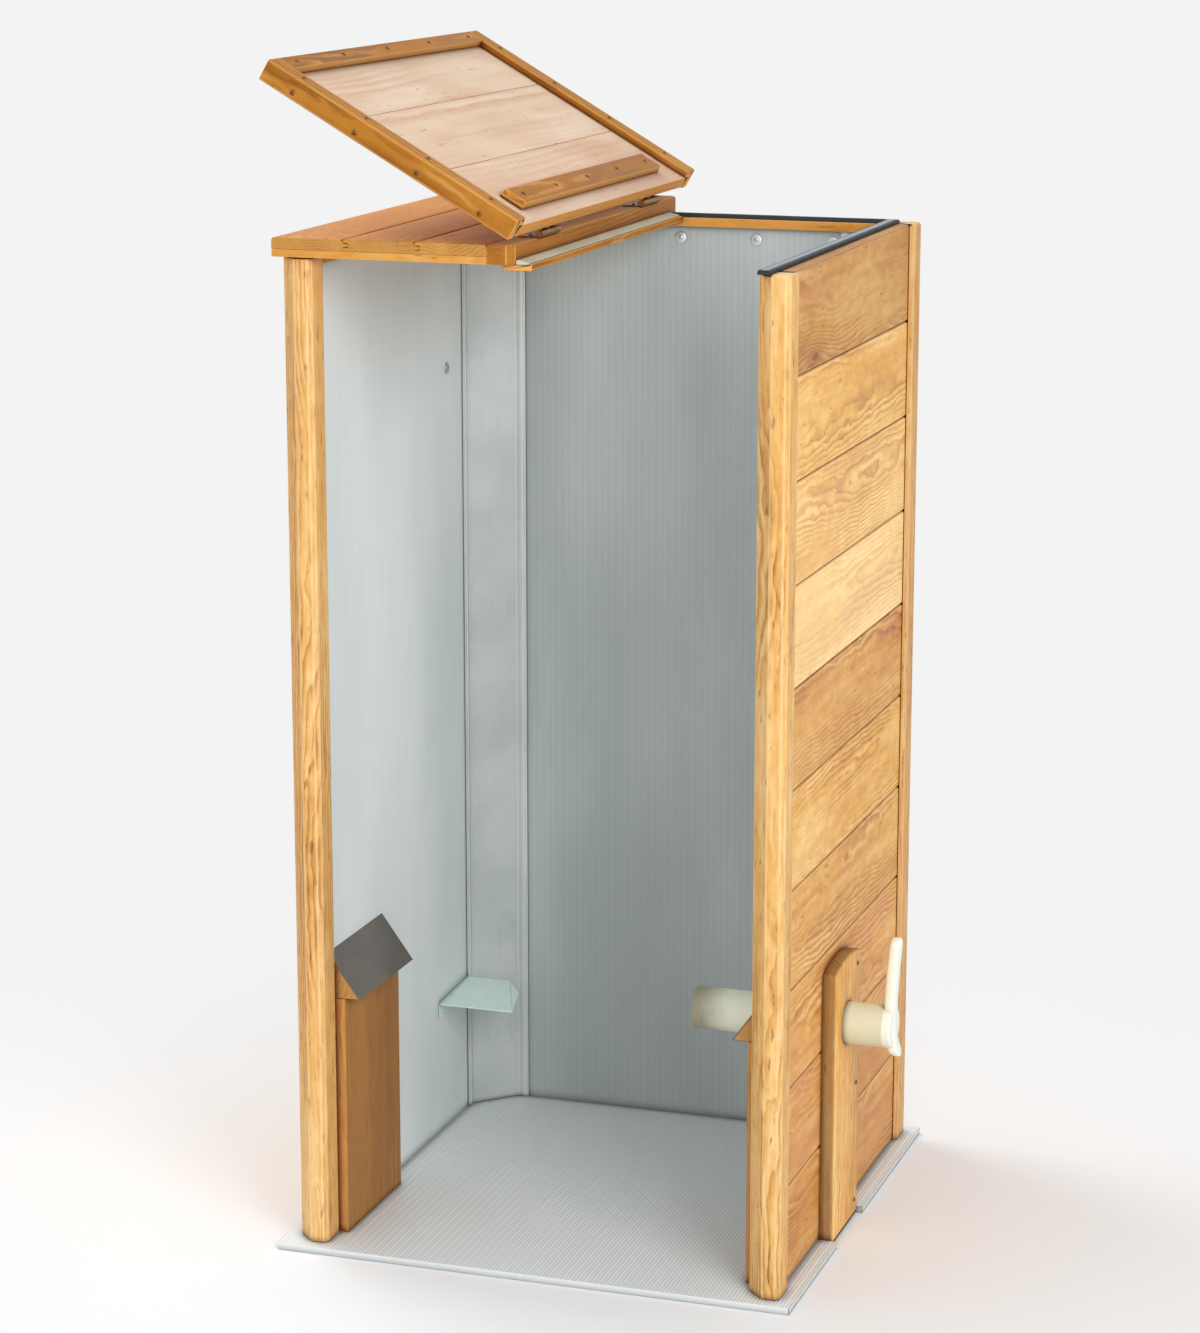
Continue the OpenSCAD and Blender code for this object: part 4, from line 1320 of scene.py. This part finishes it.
@dataclass
class FixedRoof:
    """The fixed roof part: boards on battens, the hinge beam, and the shelf with its seal."""

    half: float = 0.375
    top: float = 1.487
    thick: float = 0.016
    cover: float = 0.106
    boards: int = 3
    batten: float = 0.045
    beam: Span = (-0.057, -0.019)
    bevel: float = 0.010
    shelf_back: float = 0.322

    def roofing(self) -> None:
        """Makes the boards, whose front ends are darker."""
        row = Matchboards(self.top, -1, self.thick, -self.half, self.cover, self.boards)
        for n, bright in enumerate((1.0, 0.96, 1.02)):
            board = prism(row.section(n), (-self.half, self.half), Lie.FLAT_ALONG_Y, (3e-4, 3e-4))
            board = sawn(board, 301 + n, bright, 0.2)
            board.tone[board.points[:, 1] < 1e-4 - self.half, 0] *= 0.78
            shown(f"roof_board_{n + 1}_timber", board, ROOF_WOOD, f"roof_board_{n + 1}")

    def battens(self) -> None:
        """Makes the battens below the boards: one at the front, one at the back, one at the left."""
        half, low, under, right = self.half, PLAN.wall_top, self.top - self.thick, self.beam[0]
        inner = half - self.batten
        made = [
            bar((-half, -half, low), (right, -inner, under), Lie.ALONG_X, 310, bright=1.06),
            bar((-half, inner, low), (right, half, under), Lie.ALONG_X, 312, bright=1.06),
            bar((-half, -inner, low), (self.batten - half, inner, under), Lie.ALONG_Y, 315),
        ]
        shown("roof_battens_timber", joined(made), BATTEN_WOOD, "roof_battens")

    def build(self) -> None:
        """Makes the boards, battens, beam, shelf and seal."""
        self.roofing()
        self.battens()
        half, b, low, (left, edge) = self.half, self.bevel, PLAN.wall_top, self.beam
        front = [(left, -half), (edge - b, -half), (edge, b - half)]
        corners = [*front, *((x, -y) for x, y in front[::-1])]
        beam = prism(eased(corners, 0.0012), (low, self.top), Lie.UPRIGHT, (0.001, 0.0015))
        beam.grain = beam.grain[:, [1, 2, 0]]
        shown("beam_timber", sawn(beam, 321), AMBER_WOOD, "hinge_beam")
        lip = [(0.022, -0.008), (0.024, -0.006), (0.024, 0.002), (0.020, 0.002), (0.020, 0.0)]
        corners = np.array([(-0.019, -0.008), *lip, (-0.019, 0.0)]) + (edge, low)
        shelf = prism(eased(corners, 0.0010), (b - half, self.shelf_back), Lie.ALONG_Y)
        shown("shelf_timber", sawn(shelf, 331, bright=1.12), AMBER_WOOD, "seal_ledge")
        corners = [(0.0003, 0), (0.0197, 0), (0.0197, 0.0034), (0.0065, 0.0067), (0.0003, 0.0067)]
        run = (b - half + 3e-4, self.shelf_back - 3e-4)
        seal = prism(eased(np.array(corners) + (edge, low), 0.0012), run, Lie.ALONG_Y)
        shown("shelf_seal", seal, LEDGE_FOAM, "ledge_seal")


@dataclass
class Lid:
    """The lid, laid out closed and then turned about its hinges into the open place."""

    x: Span = (-0.017, 0.398)
    half: float = 0.406
    inner: float = 0.372
    under: float = 1.467
    thick: float = 0.020
    deep: float = 0.012
    rebate: float = 0.020
    near: Span = (0.011, 0.047)
    near_half: float = 0.310
    far_wide: float = 0.026
    from_end: float = 0.036
    axis: tuple[float, float, float] = (-0.018, 0.0, 1.4924)
    opening: float = 150.0

    def put(self, name: str, shell: Shell, finish: Finish, node: str) -> None:
        """Makes a piece of the lid of a shell that is laid out closed, turned into the open place."""
        place = Matrix.Translation(self.axis) @ Matrix.Rotation(math.radians(-self.opening), 4, "Y")
        shown(name, shell.moved(place @ Matrix.Translation(-Vector(self.axis))), finish, node, Body.LID)

    def rail(self, sign: int) -> Shell:
        """Makes a side rail with two grooves below, painted dark as shade, and a rebate for the board ends.

        Args:
            sign: -1 for the front rail, +1 for the back one.

        Returns:
            The rail, with the lid closed.
        """
        wide, h, g, e = self.half - self.inner, self.thick + self.deep, 0.0025, 0.002
        low, grooves = self.under - self.deep, (wide / 3, 2 * wide / 3)
        below = [corner for at in grooves for corner in ((at - g, 0), (at, g), (at + g, 0))]
        above = [(wide, self.deep), (self.rebate, self.deep), (self.rebate, h), (e, h), (0, h - e)]
        d = np.array([(0, e), (e, 0), *below, (wide - e, 0), (wide, e), *above])
        corners = np.stack([sign * (self.half - d[:, 0]), low + d[:, 1]], axis=1)
        rail = prism(eased(corners, 0.0010), self.x, Lie.ALONG_X, (0.001, 0.001))
        rail = sawn(rail, 401 + sign, bright=1.05)
        inwards = self.half - np.abs(rail.points[:, 1])
        sunk = np.minimum(*(np.abs(inwards - at) for at in grooves)) < 0.0014
        # painted shade: the grooves below are darkened to 0.4 and their pale arrises cleared
        rail.tone[sunk & (rail.points[:, 2] < self.under)] *= (0.4, 1.0, 0.0)
        return rail

    def batten(self, x: Span, half: float, bevel: float, seed: int) -> Shell:
        """Makes a batten under the boards, whose ends are bevelled below.

        Args:
            x: Its limits across.
            half: Half its length.
            bevel: Size of the bevels.
            seed: Picks its log.

        Returns:
            The batten, with the lid closed.
        """
        low = self.under - self.deep
        end = [(half - bevel, low), (half, low + bevel), (half, self.under)]
        corners = [*((-y, z) for y, z in end[1::-1]), *end, (-half, self.under)]
        batten = prism(eased(corners, 0.0015), x, Lie.ALONG_X, (0.0012, 0.0012))
        batten.grain = batten.grain[:, [2, 0, 1]]
        return sawn(batten, seed, bright=1.04)

    def screws(self) -> Shell:
        """Sets heads along both battens, under the rails and on their outer faces.

        Returns:
            All heads, with the lid closed.
        """
        spread, low = np.linspace(-1, 1, 5), self.under - self.deep
        near = [(sum(self.near) / 2, s * (self.near_half - self.from_end), low) for s in spread]
        far = [(self.x[1] - self.far_wide / 2, s * (self.inner - self.from_end), low) for s in spread]
        at = self.x[0] + (self.x[1] - self.x[0]) * (np.arange(4) + 0.5) / 4
        pairs = [(x, s) for x in at for s in (-1, 1)]
        below = [(x, s * (self.half + self.inner) / 2, low) for x, s in pairs]
        sides = [(x, s * self.half, self.under + self.thick / 2) for x, s in pairs]
        places = [*near, *far, *below, *sides]
        ways = [(0, 0, -1)] * (len(places) - len(sides)) + [(0, s, 0) for _, s in pairs]
        return scattered(screw_head(), np.array(places), np.array(ways))

    def build(self) -> None:
        """Makes the boards, rails, battens and screws in the open place; outside, the boards are stained."""
        width, reach = (self.x[1] - self.x[0]) / 3, self.inner + 0.014
        row = Matchboards(self.under + self.thick, -1, self.thick, self.x[0], width, 3)
        for n, (bright, red) in enumerate(((1.0, 0.5), (1.02, 0.25), (0.99, 0.35))):
            board = sawn(prism(row.section(n), (-reach, reach), Lie.FLAT_ALONG_Y), 411 + n, bright, red, 0.07)
            board.tone[board.points[:, 2] > self.under + 2e-4, 1] = 2.0
            self.put(f"lid_board_{n + 1}_timber", board, PALE_WOOD, f"lid_board_{n + 1}")
        far = self.batten((self.x[1] - self.far_wide, self.x[1]), self.inner, 0.001, 421)
        near = self.batten(self.near, self.near_half, 0.007, 422)
        timbers = {"rail_front": self.rail(-1), "rail_back": self.rail(1), "far": far, "near": near}
        for name, timber in timbers.items():
            node = f"lid_{name}" if "rail" in name else f"lid_{name}_batten"
            self.put(f"lid_{name}_timber", timber, AMBER_WOOD, node)
        self.put("lid_fixings", self.screws(), SCREW_STEEL, "lid_screws")


@dataclass
class AirWays:
    """The side ducts with their caps and sheets, and the deflector in the back corner."""

    front: float = -0.319
    length: float = 0.2112
    height: float = 0.362
    depth: float = 0.026
    wall: float = 0.008
    cap_wide: float = 0.048
    cap_high: float = 0.066
    sheet: float = 0.0015
    plate: tuple[float, float, float] = (0.125, 0.074, 0.130)
    plate_low: float = 0.223
    plate_back: float = 0.2537
    tilt: float = 0.007
    flange: float = 0.024

    def duct(self, sign: int) -> tuple[Shell, Shell, Shell]:
        """Makes a duct: a channel with a front painted lighter as lit, its wedge cap, and the sheet on the cap's
        slope.

        Args:
            sign: Side of the bin that it is on.

        Returns:
            The channel, the cap and the sheet.
        """
        f, d, w, y0, y1 = PLAN.lining_face, self.depth, self.wall, self.front, self.front + self.length
        top, wide, high = PLAN.foot + self.height, self.cap_wide, self.cap_high
        outside = [(f, y0), (f - d, y0), (f - d, y1), (f, y1)]
        hollow = [(f, y1 - w), (f - d + w, y1 - w), (f - d + w, y0 + w), (f, y0 + w)]
        channel = prism(eased(np.array([*outside, *hollow]) * (sign, 1), 0.0010), (PLAN.foot, top), Lie.UPRIGHT)
        wedge = np.array([(f, top), (f - wide, top), (f, top + high)])
        cap = prism(eased(wedge * (sign, 1), 0.0010), (y0, y1), Lie.ALONG_Y)
        thick = self.sheet * math.hypot(wide, high)
        skin = np.array([wedge[1], (f - wide - thick / high, top), (f, top + high + thick / wide), wedge[2]])
        sheet = prism(eased(skin * (sign, 1), 0.0005), (y0, y1), Lie.ALONG_Y, (3e-4, 3e-4))
        channel, cap = sawn(channel, 501 + sign, bright=0.98), sawn(cap, 511 + sign, bright=1.1)
        # painted light: the front face is 1.45 times brighter than the shaded inner faces
        channel.tone[channel.points[:, 1] < y0 + 1e-4, 0] *= 1.45
        return channel, cap, sheet

    def deflector(self) -> Shell:
        """Makes a plate that narrows to the back, with a flange on the wall and a tab bent down.

        Each part is a flat outline given its thickness: point p of the plate becomes p and p + t * n,
        with n the part's normal. The whole then tips up to the back about its front edge.

        Returns:
            The deflector.
        """
        (front, back, run), t, fold = self.plate, self.sheet, math.radians(15)
        side = Vector((back - front, run, 0))
        out = Vector((run, front - back, 0)).normalized()
        bent = out * math.cos(fold) - Vector(UP) * math.sin(fold)
        tip = Vector((front, 0, 0)) + side * 0.65 + bent * 0.013
        plate = np.array([(0, 0, 0), (front, 0, 0), (back, run, 0), (0, run, 0)])
        tab = np.array([(front, 0, 0), tip, (back, run, 0)])
        flange = np.array([(0, 0, -self.flange), (0, run, -self.flange), (0, run, 0), (0, 0, 0)])
        parts = []
        for corners in (plate, tab, flange):
            normal = np.cross(corners[1] - corners[0], corners[2] - corners[1])
            normal /= np.linalg.norm(normal)
            ways = corners.mean(axis=0) - corners
            ways /= np.linalg.norm(ways, axis=1, keepdims=True)
            steps = ((0.0, 2e-4), (2e-4, 0.0), (t - 2e-4, 0.0), (t, 2e-4))
            rings = np.array([corners + normal * rise + ways * drawn for rise, drawn in steps])
            parts.append(plain_shell(rings, wear=0.25))
        tip_up = Matrix.Rotation(math.asin(self.tilt / run), 4, "X")
        foot = (-PLAN.lining_face, self.plate_back - run, self.plate_low)
        return joined(parts).moved(Matrix.Translation(foot) @ tip_up)

    def build(self) -> None:
        """Makes both ducts and the deflector."""
        wood = (DUCT_WOOD, Slot.DUCT)
        kinds = (("duct", *wood), ("duct_cap", *wood), ("duct_sheet", CAP_PAINT, Slot.CAP_SHEET))
        for side, sign in SIDES:
            for (kind, finish, slot), shell in zip(kinds, self.duct(sign)):
                shown(f"{kind}_{side}_made", shell, finish, f"{kind}_{side}")
        shown("deflector_sheet", self.deflector(), DEFLECTOR_PAINT, "corner_deflector")


@dataclass
class TubeAndLever:
    """The turning tube with its lever, and the cover board that it comes out of."""

    ends: Span = (0.150, 0.440)
    radius: float = 0.0315
    wall: float = 0.003
    bead: Span = (0.3227, 0.3277)
    cover_x: Span = (0.362, 0.382)
    cover_half: float = 0.073
    cover_z: Span = (0.003, 0.428)
    arch: float = 0.010
    hub: float = 0.013
    arms: Span = (-0.044, 0.137)
    lever_half: Span = (0.009, 0.014)
    closing: float = 0.014

    def tube(self) -> Shell:
        """Turns the tube's wall, with eased rims and a bead that bears on the bush.

        Returns:
            The tube.
        """
        r, t, e, (x0, x1), (b0, b1) = self.radius, self.wall, 0.0010, self.ends, self.bead
        bead = [(b0, r), (b0 + e, r + 0.0030), (b0 + 0.0018, r + 0.0035), (b1 - 0.0018, r + 0.0035)]
        bead += [(b1, r + 0.0028), (b1, r)]
        rims = [(x1 - 2e-4, r), (x1 - 2e-4, r - t), (x0 + e, r - t), (x0, r - t + e)]
        profile = [(x0, r - e), (x0 + e, r), *bead, *rims]
        return turned(profile, (0, *PLAN.tube_axis), RIGHTWARD, TUBE_STEPS, looped=True)

    def lever(self) -> Shell:
        """Makes the lever of rings from its foot to its top, beside a closed hub.

        At height z a ring is a super-ellipse |x / a|^3 + |y / b|^3 = 1 about (m, 0): its half width b
        and half thickness a close at both ends as sqrt(1 - s^2) of the last stretch, and its middle m
        leans outwards with the height squared. Beside the tube the rings are cut at the tube's end.

        Returns:
            The lever and its hub.
        """
        (low, high), end, (mid, height) = self.arms, self.closing, PLAN.tube_axis
        x1, x2, r = self.ends[1], self.ends[1] + self.hub, self.radius
        z = (low + high) / 2 + np.sin(np.linspace(-np.pi / 2, np.pi / 2, 81)) * (high - low) / 2
        past = np.clip(np.maximum((z - high + end) / end, (low + end - z) / end), 0, 0.9995)
        close = np.sqrt(1 - past**2)
        lean = np.where(z > 0, 0.008 * (z / high) ** 2, 0.011 * (z / low) ** 2)
        a, b = self.lever_half[0] * (0.45 + 0.55 * close), self.lever_half[1] * close
        angle = np.linspace(0, 2 * np.pi, 44, endpoint=False)
        cx, cy = (np.sign(f) * np.abs(f) ** (2 / 3) for f in (np.cos(angle), np.sin(angle)))
        x = (x1 + self.hub / 2 + lean)[:, None] + a[:, None] * cx
        x = np.where(np.abs(z)[:, None] < r + 0.0015, np.maximum(x, x1 + 1e-4), x)
        rings = [x, mid + b[:, None] * cy, np.broadcast_to(height + z[:, None], x.shape)]
        turn = np.linspace(0, np.pi / 2, 5)
        edge = np.stack([x2 - 0.003 + 0.003 * np.sin(turn), r - 0.003 + 0.003 * np.cos(turn)], axis=1)
        hub = [(x1 - 1e-4, POLE), (x1 - 1e-4, r), *edge, (x2, POLE)]
        hub = turned(hub, (0, mid, height), RIGHTWARD, TUBE_STEPS)
        return joined([plain_shell(np.stack(rings, axis=-1)), hub])

    def cover(self) -> None:
        """Makes the cover board: a rectangle under an arc of radius (w^2 + h^2) / 2h, bored for the tube.

        Its corners are eased, with rounder shoulders. Its edge is darker and redder than its face.
        """
        half, (foot, top), (back, face), mid = self.cover_half, self.cover_z, self.cover_x, PLAN.tube_axis[0]
        arc = (half**2 + self.arch**2) / (2 * self.arch)
        y = np.linspace(-half, half, 41)
        crown = np.stack([y, top - arc + np.sqrt(arc**2 - y**2)], axis=1)
        corners = np.concatenate([[(half, foot), (-half, foot)], crown]) + (mid, 0)
        rounded = eased(corners[[1, 2, 22, 42, 0]], np.array([1e-3, 8e-3, 0, 8e-3, 1e-3]), 6).points
        corners = np.concatenate([rounded[:14], corners[7:38], rounded[21:]])
        outline = Outline(corners, np.zeros(len(corners)))
        at = (back, face - 0.004, face - 0.0012, face)
        board = carried(outline, at, (0.0, 0.0, 0.0012, 0.004), Lie.ALONG_X)
        board.grain = board.grain[:, [1, 2, 0]]
        board.tone[:, 2] = 0.0
        board = sawn(board, 601, 1.05)
        board.tone[:, 0] *= np.repeat([0.42, 0.46, 0.54, 1.0], len(corners))
        board.tone[:, 1] = np.repeat([0.6, 0.6, 0.5, 0.1], len(corners))
        made = shown("cover_timber", board, WALL_WOOD, "cover_board")
        bored(made, board, self.radius + 0.001, (back - 0.01, face + 0.01))

    def build(self) -> None:
        """Makes the tube, lever, cover board and its screws."""
        shown("tube_made", self.tube(), TUBE_CREAM, "air_tube", Body.TUBE)
        shown("lever_made", self.lever(), LEVER_WHITE, "lever", Body.TUBE)
        self.cover()
        y = PLAN.tube_axis[0] + self.cover_half - 0.018
        places = np.array([(self.cover_x[1], y, 0.028 + n * 0.186) for n in range(3)])
        heads = scattered(screw_head(), places, np.tile(RIGHTWARD, (3, 1)))
        shown("cover_fixings", heads, SCREW_STEEL, "cover_screws")


@dataclass(frozen=True)
class Lamp:
    """A square area lamp: its place, the length of its side, and its power in watts."""

    place: tuple[float, float, float]
    size: float
    power: float


@dataclass(frozen=True)
class Studio:
    """Camera, lamps, and a pale floor that fades into the backdrop."""

    azimuth: float = 18.5
    elevation: float = 12.8
    distance: float = 5.6
    lens: float = 98.3
    aim: Span = (-0.019, 0.803)
    lit: tuple[float, float, float] = (0, 0, 0.75)
    lamps: tuple[Lamp, ...] = (
        Lamp((3.6, -3.6, 3.3), 2.4, 134.0),
        Lamp((1.5, -5.0, 1.6), 3.0, 43.0),
        Lamp((-3.6, -2.4, 2.6), 3.0, 9.0),
        Lamp((-2.4, 0.9, 4.2), 2.2, 75.0),
    )
    ambient: tuple[float, float, float, float] = (0.62, 0.64, 0.66, 1.0)
    backdrop: str = "#F3F3F3"
    floor_rings: tuple[float, ...] = (0.001, 0.7, 1.4, 2.4, 4.0, 8.0, 20.0)

    def faced(self, name: str, data: bpy.types.ID, place: Vector, way: Vector) -> Piece:
        """Puts a camera or a lamp into the scene.

        Args:
            name: Its name.
            data: The camera or the lamp.
            place: Where it stands.
            way: Where it points.

        Returns:
            The new object.
        """
        made = placed(name, data)
        made.location, made.rotation_mode = place, "QUATERNION"
        made.rotation_quaternion = way.to_track_quat("-Z", "Y")
        return made

    def camera(self) -> None:
        """Puts the camera on a line through the aim point, at the given angles."""
        az, el = math.radians(self.azimuth), math.radians(self.elevation)
        back = Vector((math.sin(az) * math.cos(el), -math.cos(az) * math.cos(el), math.sin(el)))
        right = Vector((math.cos(az), math.sin(az), 0))
        place = right * self.aim[0] + back.cross(right) * self.aim[1] + back * self.distance
        data = bpy.data.cameras.new("camera")
        data.lens, data.sensor_width = self.lens, 36.0
        bpy.context.scene.camera = self.faced("camera", data, place, -back)

    def lights(self) -> None:
        """Sets the area lamps, each turned to the middle of the bin, and the world."""
        for n, lamp in enumerate(self.lamps):
            data = bpy.data.lights.new(f"lamp_{n}", "AREA")
            data.size, data.energy = lamp.size, lamp.power
            self.faced(f"lamp_{n}", data, Vector(lamp.place), Vector(self.lit) - Vector(lamp.place))
        world = bpy.data.worlds.new("world")
        bpy.context.scene.world = world
        world.use_nodes = True
        nodes = Nodes(world.node_tree)
        glow = nodes.out("Background", {"Color": nodes.blend(nodes.seen(), self.ambient, self.backdrop)})
        nodes.node("OutputWorld", {"Surface": glow})

    def floor(self) -> None:
        """A round floor in rings; away from the bin it fades to the backdrop's own colour."""
        radius, steps = np.array(self.floor_rings)[:, None], 64
        a = np.linspace(0, 2 * np.pi, steps, endpoint=False)
        rings = [radius * np.cos(a), radius * np.sin(a), np.full((len(radius), steps), -0.0005)]
        rings = np.stack(rings, axis=-1)
        quads, _ = loft(rings, capped=False)
        mesh = bpy.data.meshes.new("floor")
        mesh.from_pydata(rings.reshape(-1, 3).tolist(), [], [*quads.tolist(), list(range(steps))])
        made = placed("floor", mesh)
        r = Recipe("floor")
        r.feed(r.shader.inputs["Base Color"], self.backdrop)
        r.feed(r.shader.inputs["Roughness"], 0.9)
        glow = r.out("Emission", {"Color": self.backdrop, "Strength": 1.0})
        faded = r.seen() * (r.place() * (1, 1, 0)).length().step(0.65, 1.7)
        mix = r.out("MixShader", {0: faded, 1: Term(r, r.shader.outputs[0]), 2: glow})
        r.feed(r.output.inputs["Surface"], mix)
        mesh.materials.append(r.material)

    def build(self) -> None:
        """Sets the view, the camera, the lamps and the floor."""
        bpy.context.scene.view_settings.view_transform = "Standard"
        self.camera()
        self.lights()
        self.floor()


def dress(finish: Finish, *nodes: str) -> None:
    """Gives carried-over CAD nodes a finish in place of their own.

    Args:
        finish: The finish.
        nodes: Names of the nodes.
    """
    for name in nodes:
        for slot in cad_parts[name].material_slots:
            slot.material = finish.material()
        log.info("%s: dressed", name)


def main() -> None:
    """Builds the bin from the ground up, then the studio."""
    logging.basicConfig(level=logging.INFO, format="%(name)s %(message)s")
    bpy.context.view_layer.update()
    for part in (BaseSheet(), Posts(), Walls(), Linings(), FixedRoof(), Lid(), AirWays(), TubeAndLever()):
        log.info("building %s", type(part).__name__)
        part.build()
    hinges = ("leaves_roof", "leaves_lid", "pins", "screws_roof", "screws_lid")
    dress(HINGE_STEEL, *(f"hinge_{name}" for name in hinges))
    dress(TUBE_CREAM, "tube_bush")
    Studio().build()


if __name__ == "__main__":
    main()
